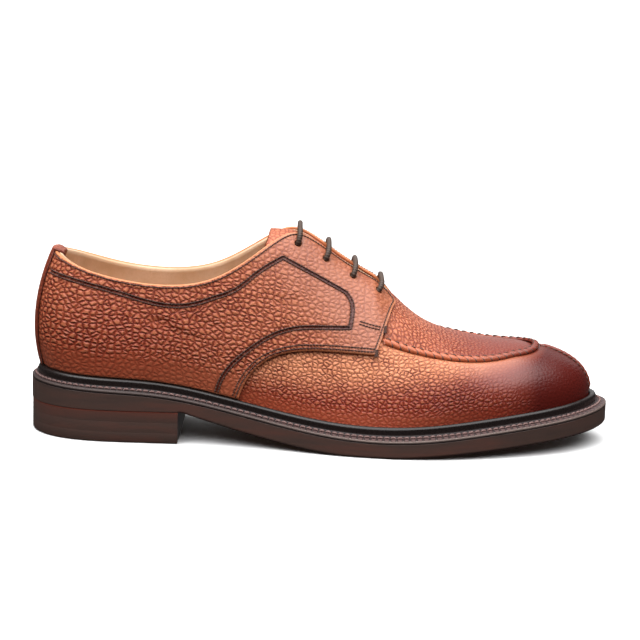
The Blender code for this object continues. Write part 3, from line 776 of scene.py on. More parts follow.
# Materials


def srgb(red, green, blue):
    """A colour given as in a picture, 0 to 255, as the linear colour of a shader."""
    share = np.array((red, green, blue)) / 255
    linear = np.where(share <= 0.04045, share / 12.92, ((share + 0.055) / 1.055) ** 2.4)
    return (*linear.tolist(), 1.0)


class Shade:
    """A material and short ways to add its nodes."""

    def __init__(self, name, **sockets):
        self.material = bpy.data.materials.new(name)
        self.material.use_nodes = True
        self.tree = self.material.node_tree
        self.shader = self.tree.nodes["Principled BSDF"]
        for socket, value in sockets.items():
            self.shader.inputs[socket.replace("_", " ")].default_value = value

    def put(self, value, socket):
        if isinstance(value, bpy.types.NodeSocket):
            self.tree.links.new(value, socket)
        else:
            socket.default_value = value

    def add(self, kind, inputs, **settings):
        node = self.tree.nodes.new(kind)
        for key, value in settings.items():
            setattr(node, key, value)
        for key, value in inputs.items():
            self.put(value, node.inputs[key])
        return node

    def place(self, sizes, wander=None):
        """Coordinates in cells of sizes in millimetres. They may wander by an amount over a size."""
        spot = self.add("ShaderNodeTexCoord", {}).outputs["Object"]
        scale = tuple(1 / (size * MM) for size in sizes)
        spot = self.add("ShaderNodeMapping", {"Vector": spot, "Scale": scale}).outputs["Vector"]
        if wander is None:
            return spot
        amount, size = wander
        noise = self.add("ShaderNodeTexNoise", {"Vector": spot, "Scale": 1 / size, "Detail": 2.0})
        shift = self.vector("SUBTRACT", noise.outputs["Color"], (0.5, 0.5, 0.5))
        return self.vector("ADD", spot, self.vector("MULTIPLY", shift, (amount,) * 3))

    def cells(self, sizes):
        """Distance from the edge of each grain, for grains of a given length and height on a flat sheet."""
        sheet = self.add("ShaderNodeCombineXYZ", {"X": self.size("along"), "Y": self.size("up")}).outputs[0]
        noise = self.add("ShaderNodeTexNoise", {"Vector": sheet, **GRAIN_WANDER})
        shift = self.vector("MULTIPLY", noise.outputs["Color"], (GRAIN_SHIFT,) * 3)
        scale = (1 / sizes[0], 1 / sizes[1], 1.0)
        spot = self.add("ShaderNodeMapping", {"Vector": self.vector("ADD", sheet, shift), "Scale": scale})
        return self.add("ShaderNodeTexVoronoi", {
            "Vector": spot.outputs[0], "Scale": 1.0, "Randomness": GRAIN_RANDOMNESS},
            feature="DISTANCE_TO_EDGE", voronoi_dimensions="2D").outputs["Distance"]

    def noise(self, spot, scale, detail, roughness=0.55):
        return self.add("ShaderNodeTexNoise", {
            "Vector": spot, "Scale": scale, "Detail": detail, "Roughness": roughness}).outputs["Fac"]

    def fleck(self, scale, detail, roughness=0.55):
        """Noise over the shoe, with its scale per millimetre."""
        return self.noise(self.place((1.0, 1.0, 1.0)), scale, detail, roughness)

    def size(self, name):
        return self.add("ShaderNodeAttribute", {}, attribute_name=name).outputs["Fac"]

    def vector(self, operation, a, b):
        return self.add("ShaderNodeVectorMath", {0: a, 1: b}, operation=operation).outputs[0]

    def math(self, operation, a, b=0.0):
        return self.add("ShaderNodeMath", {0: a, 1: b}, operation=operation).outputs[0]

    def times(self, a, b):
        return self.math("MULTIPLY", a, b)

    def plus(self, a, b):
        return self.math("ADD", a, b)

    def span(self, value, low, high, to_low=0.0, to_high=1.0):
        return self.add("ShaderNodeMapRange", {
            "Value": value, "From Min": low, "From Max": high, "To Min": to_low, "To Max": to_high},
            interpolation_type="SMOOTHSTEP").outputs["Result"]

    def mix(self, share, a, b):
        node = self.add("ShaderNodeMix", {}, data_type="RGBA")
        self.put(share, node.inputs[0])
        self.put(a, node.inputs[6])
        self.put(b, node.inputs[7])
        return node.outputs[2]

    def bump(self, height, distance):
        inputs = {"Height": height, "Distance": distance * MM, "Strength": 1.0}
        return self.add("ShaderNodeBump", inputs).outputs["Normal"]

    def finish(self, colour, roughness, normal=None):
        self.put(colour, self.shader.inputs["Base Color"])
        self.put(roughness, self.shader.inputs["Roughness"])
        if normal is not None:
            self.put(normal, self.shader.inputs["Normal"])
        return self.material


# The wandering noise that bends the grains, how far it moves them in millimetres, and how uneven they are.
GRAIN_WANDER = {"Scale": 0.5, "Detail": 2.5, "Roughness": 0.62}
GRAIN_SHIFT = 1.7
GRAIN_RANDOMNESS = 0.85
LINING_GRAIN = 1.4

TAN = srgb(226, 145, 104)
RED_TAN = srgb(160, 58, 32)
# The dark of burnish, which also serves as painted shade on the vamp's lower wall.
DARK_BURNISH_AND_SHADE = srgb(80, 17, 10)
# Painted shade for the hollows between the grains, and a painted highlight for their tops.
GRAIN_HOLLOW_SHADE = srgb(96, 20, 7)
GRAIN_TOP_HIGHLIGHT = srgb(236, 156, 114)
RAW_EDGE = srgb(216, 140, 94)
LINING = srgb(228, 192, 160)
LINING_DARK = srgb(202, 160, 122)
SEAM_TAN = srgb(196, 104, 66)
SEAM_TOE = srgb(120, 48, 34)
SEAM_FLECK = srgb(128, 52, 32)
NOTCH_SHADE = srgb(52, 20, 14)
SOLE_BROWN = srgb(74, 56, 50)
SOLE_STREAK = srgb(88, 58, 50)
SOLE_SHADE = srgb(64, 50, 46)
SOLE_FLECK = srgb(42, 31, 29)
SOLE_JOINED = srgb(118, 58, 44)
TREAD = srgb(112, 74, 52)
TREAD_PATCH = srgb(92, 58, 42)
TREAD_FLECK = srgb(70, 44, 34)
BEAD_DARK = srgb(22, 16, 15)
BEAD_LIGHT = srgb(34, 25, 24)
SHELF_BROWN = srgb(46, 31, 31)
SHELF_DARK = srgb(30, 20, 20)
SHELF_WHEELED = srgb(96, 70, 68)
SHELF_RIM_HIGHLIGHT = srgb(186, 162, 152)
LACE_DARK = srgb(52, 37, 30)
LACE_LIGHT = srgb(92, 72, 60)
THREAD_DARK = srgb(58, 34, 31)
THREAD_LIGHT = srgb(112, 82, 70)
WELT_THREAD_DARK = srgb(92, 64, 63)
WELT_THREAD_LIGHT = srgb(150, 120, 114)
FLOOR_PALE = (0.86, 0.86, 0.865, 1.0)
FLOOR_WHITE = (0.88, 0.88, 0.88, 1.0)


def grained_leather(name, pebble, depth, raw_edge=False):
    """Pebble-grain calf: round grains with painted shade in their hollows and painted highlights on their
    tops, darkened by burnish and painted shade where its points say so.
    """
    shade = Shade(name, Coat_Roughness=0.32, Specular_IOR_Level=0.3)
    shade.put(shade.span(shade.size("gloss"), 0.0, 1.0, 0.04, 0.56), shade.shader.inputs["Coat Weight"])
    cells = shade.cells(pebble)
    dome = shade.span(cells, 0.0, 0.42)
    wave = shade.fleck(0.3, 2.0)
    dome = shade.plus(dome, shade.times(wave, 0.3))
    broad = shade.fleck(0.07, 3.0)
    grain = shade.times(shade.size("grain"), shade.span(broad, 0.25, 0.75, 0.8, 1.1))
    fine = shade.fleck(2.6, 4.0, 0.6)
    base = shade.mix(shade.size("red"), TAN, RED_TAN)
    base = shade.mix(shade.span(broad, 0.3, 0.75, 0.0, 0.2), base, RED_TAN)
    # Painted highlight: the tops of the grains are lightened.
    crown = shade.times(shade.span(cells, 0.14, 0.4), grain)
    base = shade.mix(shade.times(crown, 0.36), base, GRAIN_TOP_HIGHLIGHT)
    # Painted shade: the hollows between the grains are darkened.
    hollow = shade.times(shade.span(cells, 0.2, 0.0), grain)
    hollow = shade.times(hollow, shade.span(wave, 0.32, 0.68, 0.55, 1.1))
    base = shade.mix(shade.times(hollow, 0.95), base, GRAIN_HOLLOW_SHADE)
    # Burnish darkens the colour; on the vamp's lower wall this darkening is painted shade.
    base = shade.mix(shade.size("burnish_and_shade"), base, DARK_BURNISH_AND_SHADE)
    if raw_edge:
        base = shade.mix(shade.size("raw"), base, RAW_EDGE)
    height = shade.plus(shade.times(dome, grain), shade.times(fine, 0.05))
    rough = shade.plus(shade.times(hollow, 0.2), shade.span(fine, 0.2, 0.8, 0.32, 0.42))
    return shade.finish(base, rough, shade.bump(height, depth))


def lining_leather():
    """Smooth leather with a fine grain and soft uneven colour."""
    shade = Shade("lining_leather", Specular_IOR_Level=0.35)
    spot = shade.place((LINING_GRAIN,) * 3)
    fine = shade.noise(spot, 1.0, 5.0, 0.62)
    broad = shade.noise(spot, 0.06, 3.0)
    base = shade.mix(shade.span(broad, 0.3, 0.72), LINING, LINING_DARK)
    base = shade.mix(shade.span(fine, 0.45, 0.75, 0.0, 0.4), base, LINING_DARK)
    return shade.finish(base, shade.span(fine, 0.25, 0.75, 0.49, 0.63), shade.bump(fine, 0.12))


def sole_edge_leather(name, streak):
    """Waxed sole leather: dark brown with reddish streaks along the layers."""
    shade = Shade(name, Coat_Weight=0.18, Coat_Roughness=0.3, Specular_IOR_Level=0.45)
    spot = shade.place((46.0, 46.0, streak), wander=(0.25, 1.5))
    layers = shade.noise(spot, 1.0, 4.0, 0.6)
    fine = shade.fleck(2.2, 5.0, 0.6)
    base = shade.mix(shade.span(layers, 0.42, 0.7), SOLE_BROWN, SOLE_STREAK)
    base = shade.mix(shade.span(layers, 0.45, 0.25), base, SOLE_SHADE)
    base = shade.mix(shade.span(fine, 0.5, 0.8, 0.0, 0.35), base, SOLE_FLECK)
    base = shade.mix(shade.size("join"), base, SOLE_JOINED)
    height = shade.plus(shade.times(layers, 0.3), shade.times(fine, 0.3))
    return shade.finish(base, shade.span(fine, 0.25, 0.75, 0.34, 0.5), shade.bump(height, 0.16))


def tread_leather():
    """The underside of the sole: plain brown sole leather, lightly scuffed."""
    shade = Shade("tread", Specular_IOR_Level=0.3)
    fine = shade.fleck(1.4, 6.0, 0.65)
    broad = shade.noise(shade.place((40.0, 14.0, 40.0)), 1.0, 4.0)
    base = shade.mix(shade.span(broad, 0.3, 0.7), TREAD, TREAD_PATCH)
    base = shade.mix(shade.span(fine, 0.5, 0.75, 0.0, 0.4), base, TREAD_FLECK)
    return shade.finish(base, shade.span(fine, 0.2, 0.8, 0.5, 0.7), shade.bump(fine, 0.1))


def bead_leather():
    """The welt's bead: almost black, with a little gloss."""
    shade = Shade("welt_bead", Specular_IOR_Level=0.42)
    fine = shade.fleck(1.8, 5.0, 0.6)
    base = shade.mix(shade.span(fine, 0.35, 0.7), BEAD_DARK, BEAD_LIGHT)
    return shade.finish(base, shade.span(fine, 0.3, 0.7, 0.25, 0.35), shade.bump(fine, 0.06))


def shelf_leather():
    """The welt's shelf: purple-brown, wheeled across at a close pitch, with a painted highlight along its
    edge.
    """
    shade = Shade("welt_shelf", Coat_Weight=0.1, Coat_Roughness=0.4, Specular_IOR_Level=0.4)
    fine = shade.fleck(2.0, 5.0, 0.65)
    turn = shade.times(shade.size("along"), 2 * math.pi / WELT_PITCH)
    wheel = shade.span(shade.math("COSINE", turn), 0.95, 0.1)
    wheel = shade.times(wheel, shade.size("wheel"))
    base = shade.mix(shade.span(fine, 0.3, 0.7), SHELF_BROWN, SHELF_DARK)
    base = shade.mix(shade.times(wheel, 0.6), base, SHELF_WHEELED)
    # Painted highlight along the shelf's outer rows.
    base = shade.mix(shade.times(shade.size("rim_highlight"), 0.42), base, SHELF_RIM_HIGHLIGHT)
    height = shade.plus(wheel, shade.times(fine, 0.4))
    return shade.finish(base, shade.span(fine, 0.2, 0.8, 0.42, 0.6), shade.bump(height, 0.5))


def waxed_cord(name, colour, lighter, pitch):
    """Waxed cord: turns along its length, roughened by fine flecks."""
    shade = Shade(name, Specular_IOR_Level=0.45)
    turn = shade.times(shade.size("along"), 2 * math.pi / pitch)
    wave = shade.math("SINE", turn)
    fine = shade.fleck(3.2, 4.0, 0.6)
    weave = shade.plus(shade.times(wave, 0.5), fine)
    base = shade.mix(shade.span(weave, 0.0, 1.1), colour, lighter)
    return shade.finish(base, shade.span(fine, 0.2, 0.8, 0.45, 0.65), shade.bump(weave, 0.12))


def seam_leather():
    """Burnished calf of the raised seams, with painted shade in the notches."""
    shade = Shade("seam_calf", Coat_Weight=0.2, Coat_Roughness=0.3, Specular_IOR_Level=0.45)
    fine = shade.fleck(1.6, 5.0, 0.6)
    base = shade.mix(shade.size("toe"), SEAM_TAN, SEAM_TOE)
    base = shade.mix(shade.span(fine, 0.4, 0.75, 0.0, 0.4), base, SEAM_FLECK)
    # Painted shade in the notches where the stitches draw the ridge in.
    base = shade.mix(shade.span(shade.size("pinch"), 0.86, 0.55), base, NOTCH_SHADE)
    return shade.finish(base, shade.span(fine, 0.2, 0.8, 0.36, 0.5), shade.bump(fine, 0.18))


# Pieces of the shoe


def apron_share():
    """Places round the vamp and the share up each arc where the apron seam runs."""
    shares = {}
    for side in SIDES:
        xs = np.linspace(APRON_BACK[side], TOE_CORE, APRON_STEPS)
        places = feather.place(side, xs)
        shares[side] = places, share_at_height(places, apron.at(side, xs))
    ends = {side: (places[-1], skin(places[-1:], shares[side][1][-1:, None])[0][0, 0])
            for side, (places, _) in shares.items()}
    core = core_point(np.array(TOE_CORE))
    half = {side: np.linalg.norm(point[:2] - core) for side, (_, point) in ends.items()}
    here = np.linspace(0, 2, APRON_STEPS + 1)[1:-1]
    fan = ends["outer"][0] + (ends["inner"][0] - ends["outer"][0]) * here / 2
    side_half = np.where(here < 1, half["outer"], half["inner"])
    toward = np.where(here < 1, here, 2 - here)
    halves = side_half + (APRON_FRONT - side_half) * np.sin(toward * np.pi / 2)
    places = np.concatenate((shares["outer"][0], fan, shares["inner"][0][::-1]))
    found = np.concatenate((shares["outer"][1], share_at_half(fan, halves), shares["inner"][1][::-1]))
    return places, found


seam_places, seam_shares = apron_share()


def vamp_tone(points):
    """How red, burnished, grained and glossy the vamp is at each point, with painted shade on its lower
    wall.
    """
    x, z = points[..., 0], points[..., 2]
    high = z - seat_at(x)
    # Painted shade: the lower wall is darkened and reddened, as if the light fell only from above.
    deep = smooth(33 + 0.05 * x, 14 + 0.12 * x, high)
    toe = smooth(*TOE_BURNISH, x)
    # Painted light: the band just above the welt is lightened, as if the floor lit it.
    hem = smooth(*VAMP_HEM, high) * smooth(*HEM_ALONG, x)
    red = deep + 0.3 * toe - 0.12 * hem
    burnish_and_shade = 0.95 * toe ** 1.2 * (0.6 + 0.4 * deep) + deep * (0.2 + 0.22 * smooth(*LOW_WALL_SHADE_ALONG, x))
    burnish_and_shade = burnish_and_shade + 0.14 * smooth(*FRONT_BURNISH, x) - 0.04 * hem
    upper_wall = smooth(*WALL_POLISH, x + 1.6 * (z - 42))
    polish = np.maximum(upper_wall, 0.8 * smooth(*HEM_POLISH, high))
    return {"red": np.clip(red, 0, 1), "burnish_and_shade": np.clip(burnish_and_shade, 0, 1),
            "grain": 1 - 0.84 * polish, "gloss": polish * (1 - 0.8 * smooth(*TOE_MATT, x))}


def apron_tone(points):
    """The same for the apron, which darkens and smooths out towards the toe."""
    x = points[..., 0]
    return {"red": 0.56 + 0.4 * smooth(*APRON_RED, x), "burnish_and_shade": 0.1 + 0.5 * smooth(*APRON_BURNISH, x),
            "grain": 1.0 - 0.68 * smooth(*APRON_SMOOTH, x), "gloss": 0.15 + 0.4 * smooth(*APRON_GLOSS, x)}


def make_upper(leather, lining):
    """The upper: the vamp outside, its apron set a little lower, and the lining inside."""
    places = loop_places()
    shares = np.linspace(0, 1, UPPER_ROWS)
    points, normal = skin(places, shares)
    x = feather.x(places)
    core = core_point(x)
    half = np.linalg.norm(points[..., :2] - core[:, None], axis=-1)
    reach = (sections.at("outer_shoulder", x) + sections.at("inner_shoulder", x)) / 2
    slope = (sections.at("drop", x) / reach * smooth(THROAT_FRONT, THROAT_FRONT + 10, x))[:, None]
    points[..., 2] -= slope * np.clip(CROWN_HALF - half, 0, None) ** 2 / (2 * CROWN_HALF)
    order = np.argsort(seam_places)
    seam = np.interp(places, seam_places[order], seam_shares[order])
    on_seam = (places > seam_places.min()) & (places < seam_places.max())
    length = np.linalg.norm(np.diff(points, axis=1), axis=-1).sum(1)
    off = (shares[None] - seam[:, None]) * length[:, None]
    rise = np.where(off > 0, swell(off, *APRON_DIP), swell(off, *VAMP_SWELL)) + swell(off, *SEAM_GROOVE)
    points += normal * (rise * on_seam[:, None])[..., None]
    tones = vamp_tone(points)
    plug = apron_tone(points)
    within = smooth(-0.6, 0.6, off) * smooth(*APRON_START, x)[:, None]
    tones = {key: value * (1 - within) + plug[key] * within for key, value in tones.items()}
    plugged = within > 0.5
    tones["along"] = np.where(plugged, APRON_ALONG * points[..., 0], places[:, None])
    tones["up"] = np.where(plugged, APRON_ACROSS * points[..., 1], climb_length(places, shares))
    near_seam = hump(off, 0, SEAM_TONE_WIDTH) * on_seam[:, None]
    tones["burnish_and_shade"] = np.clip(tones["burnish_and_shade"] + 0.22 * near_seam, 0, 1)
    tones["grain"] = tones["grain"] * (1 - 0.6 * near_seam)
    inner, _ = skin(places, np.linspace(1, 0, LINING_ROWS), np.array(-WALL))
    ring = np.concatenate((points, inner), 1)
    tones = {key: np.concatenate((value, np.zeros(inner.shape[:2])), 1) for key, value in tones.items()}
    slots = np.repeat((0, 1), (UPPER_ROWS - 1, LINING_ROWS + 1))
    shut_faces = np.zeros(ring.shape[:2], bool)
    shut = x > THROAT_FRONT - 0.01
    shut_faces[shut & np.roll(shut, -1), UPPER_ROWS - 1] = True
    data = grid_mesh("upper_leather", ring, closed=True, attributes=tones, slots=slots, weld=WELD,
                     left_out=shut_faces)
    add_piece("upper_leather", data, (leather, lining), ("upper",))


class Wall:
    """A dense sheet of points on one side of the shoe, to find where a line in x and z lies on it."""

    COLUMNS = 420
    HEEL_COLUMNS = 90
    ROWS = 260
    FIRST_SHARE = 0.02
    FAR_STEP = 1.5
    PATH_STEP = 0.5

    def __init__(self, side, lift):
        middle = feather.place(side, np.linspace(HEEL_CORE, TOE_CORE, self.COLUMNS))
        heel = np.linspace(feather.heel(side), middle[0], self.HEEL_COLUMNS, endpoint=False)
        self.places = np.concatenate((heel, middle))
        self.shares = np.linspace(self.FIRST_SHARE, 1.0, self.ROWS)
        self.points, self.normals = skin(self.places, self.shares, np.array(lift))
        self.tree = search_tree(self.points.reshape(-1, 3) * (1, 0, 1))

    def find(self, x, z):
        """The point and the normal at a place given by x and z."""
        _, index, _ = self.tree.find((x, 0.0, z))
        i, j = divmod(index, len(self.shares))
        i = min(max(i, 1), len(self.places) - 2)
        j = min(max(j, 1), len(self.shares) - 2)
        along = (self.points[i + 1, j] - self.points[i - 1, j]) / 2
        up = (self.points[i, j + 1] - self.points[i, j - 1]) / 2
        here = self.points[i, j]
        matrix = np.array(((along[0], up[0]), (along[2], up[2])))
        shift = np.linalg.solve(matrix, (x - here[0], z - here[2]))
        shift = np.clip(shift, -self.FAR_STEP, self.FAR_STEP)
        return here + along * shift[0] + up * shift[1], self.normals[i, j]

    def path(self, rows):
        """Points and normals along a smooth line through rows of x and z."""
        rows = np.array(rows, float)
        curve = Spline(run_length(rows), rows)
        line = curve.at(np.arange(0, curve.knots[-1], self.PATH_STEP))
        found = [self.find(*spot) for spot in line]
        return np.array([point for point, _ in found]), np.array([normal for _, normal in found])


def quarter_columns(side):
    """Places of a quarter from the back seam to its front, closer together towards the front."""
    step = BACK_MEETING if side == "outer" else -BACK_MEETING
    middle = feather.place(side, spaced(QUARTER_STRETCHES))
    heel = np.linspace(feather.heel(side) + step, middle[0], QUARTER_HEEL_STEPS, endpoint=False)
    places = np.concatenate((heel, middle))
    bottom, top = quarter_span(places)
    return places[top > bottom + LEAST_SPAN]


def quarter_span(places):
    """The shares at the lower and the upper edge of a quarter."""
    x = feather.x(places)
    low = np.where(x < QUARTER_BACK, bead_line(places) + QUARTER_LIFT,
                   np.where(x < QUARTER_CORNER, lower_edge.at("low", x), front_edge.at("low", x)))
    bottom = share_at_height(places, low)
    turn = np.clip((x - (QUARTER_FRONT - FACING_ROUND)) / FACING_ROUND, 0, 1)
    half = FACING_EDGE + FACING_ROUND * (1 - np.sqrt(1 - turn ** 2))
    top = np.where(x > THROAT_BACK, share_at_half(places, half), 1.0)
    return bottom, top


def crease_depth(points):
    """Soft troughs with a low ridge beside them."""
    x, z = points[..., 0], points[..., 2]
    depth = np.zeros(x.shape)
    for x0, z0, x1, z1, deep, wide in CREASES:
        ahead = np.array((x1 - x0, z1 - z0))
        length = np.linalg.norm(ahead)
        ahead /= length
        along = ((x - x0) * ahead[0] + (z - z0) * ahead[1]) / length
        off = (x - x0) * -ahead[1] + (z - z0) * ahead[0] + CREASE_SWAY * np.sin(along * CREASE_TURN)
        fade = smooth(-0.15, 0.2, along) * smooth(1.15, 0.8, along)
        depth += fade * deep * (0.7 * hump(off, wide * 1.3, wide) - hump(off, 0, wide))
    return depth


def line_distance(points, nodes):
    """Distance from each point to the nearest node of a line."""
    tree = search_tree(nodes)
    flat = points.reshape(-1, 3)
    return np.array([tree.find(point)[2] for point in flat]).reshape(points.shape[:-1])


def quarter_tone(points):
    """How red, burnished, grained and glossy a quarter is at each point."""
    x, z = points[..., 0], points[..., 2]
    centre = hump(x, *HEEL_RED_X) * hump(z, *HEEL_RED_Z)
    low = z - (seat_at(x) + BEAD_TOP)
    facing = smooth(*FACING_POLISH, x + 0.8 * (z - 70))
    hem = smooth(*QUARTER_HEM, low)
    red = 0.58 + 0.3 * centre - 0.3 * smooth(*FACING_TAN, x + 0.6 * (z - 70))
    burnish_and_shade = 0.06 + 0.06 * centre + 0.3 * facing + 0.1 * hem
    grain = (1 - 0.7 * hem) * (1 - 0.6 * facing)
    return {"red": np.clip(red, 0, 1), "burnish_and_shade": np.clip(burnish_and_shade, 0, 1), "grain": np.clip(grain, 0.1, 1),
            "gloss": np.maximum(0.6 * hem, 0.7 * facing)}


def make_quarter(side, leather, sewn):
    """A facing and its wing, with rounded edges, sewn troughs, creases and punched eyelets."""
    places = quarter_columns(side)
    bottom, top = quarter_span(places)
    control = controls(places)

    def up_from_bottom(share):
        return bottom[:, None] + (top - bottom)[:, None] * share

    column = arc(control, up_from_bottom(np.linspace(0, 1, COLUMN_STEPS)))
    length = np.maximum(np.linalg.norm(np.diff(column, axis=1), axis=-1).sum(1), LEAST_LENGTH)
    rim = np.minimum(QUARTER / 2 / length, MOST_RIM)
    t = up_from_bottom(rim[:, None] + (1 - 2 * rim)[:, None] * np.linspace(0, 1, QUARTER_ROWS))
    face, normal = skin(places, t, np.array(LAP + QUARTER))
    apart = line_distance(face, sewn)
    face += normal * (crease_depth(face) - SEWN_TROUGH * np.exp(-apart ** 2))[..., None]

    def edge(row, sign):
        """Points round a rounded edge, from the outer face to the inner one."""
        end = t[:, [row]]
        at, out = skin(places, end, np.array(LAP + QUARTER / 2))
        climb = unit(arc(control, end + EDGE_SHARE) - arc(control, end - EDGE_SHARE))
        turn = np.linspace(0, np.pi, EDGE_STEPS + 2)[1:-1, None]
        wide = np.minimum(QUARTER / 2, rim * length)[:, None, None]
        return at + (out * np.cos(turn) * QUARTER / 2 + sign * climb * np.sin(turn) * wide)

    upper = edge(-1, 1)
    lower = edge(0, -1)[:, ::-1]
    back_t = t[:, -1:] + (t[:, :1] - t[:, -1:]) * (1 - np.linspace(1, 0, QUARTER_BACK_ROWS))
    back, _ = skin(places, back_t, np.array(LAP))
    ring = np.concatenate((face, upper, back, lower), 1)
    tones = quarter_tone(ring)
    round_edge = np.ones((1, EDGE_STEPS))
    ring_t = np.concatenate((t, t[:, -1:] * round_edge, back_t, t[:, :1] * round_edge), 1)
    tones["along"] = places[:, None]
    tones["up"] = climb_length(places, ring_t)
    tones["burnish_and_shade"][:, :QUARTER_ROWS] += 0.7 * hump(apart, 0, SEWN_TONE_WIDTH)
    raw = np.zeros(ring.shape[:2])
    outline, _, foot = quarter_outline(side)
    upper_band = smooth(*UPPER_RAW, line_distance(face, outline[:foot.start]))
    lower_band = smooth(*LOWER_RAW, line_distance(face, outline[foot]))
    raw[:, :QUARTER_ROWS] = np.maximum(0.5 * upper_band, 0.3 * lower_band)
    raw[:, QUARTER_ROWS:QUARTER_ROWS + EDGE_STEPS] = 1.0
    raw[:, -EDGE_STEPS:] = np.where(feather.x(places)[:, None] > QUARTER_CORNER, 1.0, 0.5)
    tones["raw"] = raw
    tones["grain"] = tones["grain"] * (1 - raw)
    name = "quarter_" + side + "_leather"
    data = grid_mesh(name, ring, caps=True, attributes=tones)
    piece = add_piece(name, data, (leather,), ("quarter_" + side,))
    punch_eyelets(piece, side)


def eyelet_at(side, x, inset, lift):
    """An eyelet's place, its share of the arc, the edge's half width there, its point and its normal."""
    place = np.atleast_1d(feather.place(side, x))
    outer = np.array([side == "outer"])
    half = edge_half(outer, np.array([min(x, THROAT_BACK)]))[0]
    share = share_at_half(place, half + inset)
    point, normal = skin(place, share[:, None], np.array(lift))
    return place, share, half, point[0, 0], normal[0, 0]


def punch_eyelets(piece, side):
    """Cut the eyelets through a facing."""
    work = bmesh.new()
    for x, inset in EYELET_ROWS:
        _, _, _, point, normal = eyelet_at(side, x, inset, LAP + QUARTER / 2)
        turn = Vector(normal).to_track_quat("Z", "Y").to_matrix().to_4x4()
        turn.translation = Vector(point) * MM
        bmesh.ops.create_cone(work, cap_ends=True, segments=EYELET_SIDES, radius1=EYELET_RADIUS * MM,
                              radius2=EYELET_RADIUS * MM, depth=PUNCH_LENGTH * MM, matrix=turn)
    data = bpy.data.meshes.new("punch_" + side)
    work.to_mesh(data)
    work.free()
    cutter = bpy.data.objects.new("punch_" + side, data)
    bpy.context.scene.collection.objects.link(cutter)
    cut = piece.modifiers.new("eyelets", "BOOLEAN")
    cut.object = cutter
    cut.operation = "DIFFERENCE"
    cut.solver = "EXACT"
    bpy.context.view_layer.update()
    solid = bpy.data.meshes.new_from_object(piece.evaluated_get(bpy.context.evaluated_depsgraph_get()))
    piece.modifiers.clear()
    piece.data = solid
    bpy.data.objects.remove(cutter)
    solid.set_sharp_from_angle(angle=PUNCHED_EDGE)


def make_back_strip(leather):
    """The strip over the back seam, folded over the collar."""
    places = np.linspace(-BACK_STRIP, BACK_STRIP, STRIP_COLUMNS)
    low = share_at_height(places, bead_line(places) + QUARTER_LIFT)
    t = low[:, None] + (1 - low)[:, None] * np.linspace(0, 1, STRIP_ROWS)
    lift = LAP + QUARTER + GAP + STRIP
    crown = 1 - STRIP_CROWN * (abs(places) / BACK_STRIP) ** STRIP_CROWN_CURVE
    face, _ = skin(places, t, (lift - STRIP + STRIP * crown)[:, None] * np.ones_like(t))
    climb = unit(face[:, -1] - face[:, -3])
    turn = np.linspace(0, np.pi, FOLD_STEPS)[1:-1, None]
    middle = (lift - WALL - STRIP_TURNED) / 2
    radius = (lift + WALL + STRIP_TURNED) / 2
    top, out = skin(places, np.ones((len(places), 1)), np.array(middle))
    fold = top + out * np.cos(turn) * radius + climb[:, None] * np.sin(turn) * FOLD_HEIGHT
    inside, _ = skin(places, np.linspace(1, FOLD_END, FOLD_INSIDE_STEPS), np.array(middle - radius))
    back_up = np.linspace(FOLD_END, 1, FOLD_UNDER_STEPS)
    under, _ = skin(places, back_up, np.array(middle - radius + FOLD_THICK))
    sole, _ = skin(places, t[:, ::-STRIP_SOLE_SKIP], np.array(lift - STRIP))
    ring = np.concatenate((face, fold, inside, under, sole), 1)
    climbed = np.cumsum(np.linalg.norm(np.diff(ring, axis=1, prepend=ring[:, :1]), axis=-1), 1)
    rim = smooth(0.6, 1.0, abs(places) / BACK_STRIP)[:, None]
    tones = {"red": 0.75, "burnish_and_shade": 0.2 + 0.5 * rim, "grain": 0.75 - 0.5 * rim, "raw": 0.0,
             "gloss": 0.2, "along": places[:, None], "up": climbed}
    data = grid_mesh("back_strip_leather", ring, caps=True, attributes=tones)
    add_piece("back_strip_leather", data, (leather,), ("back_strip",))


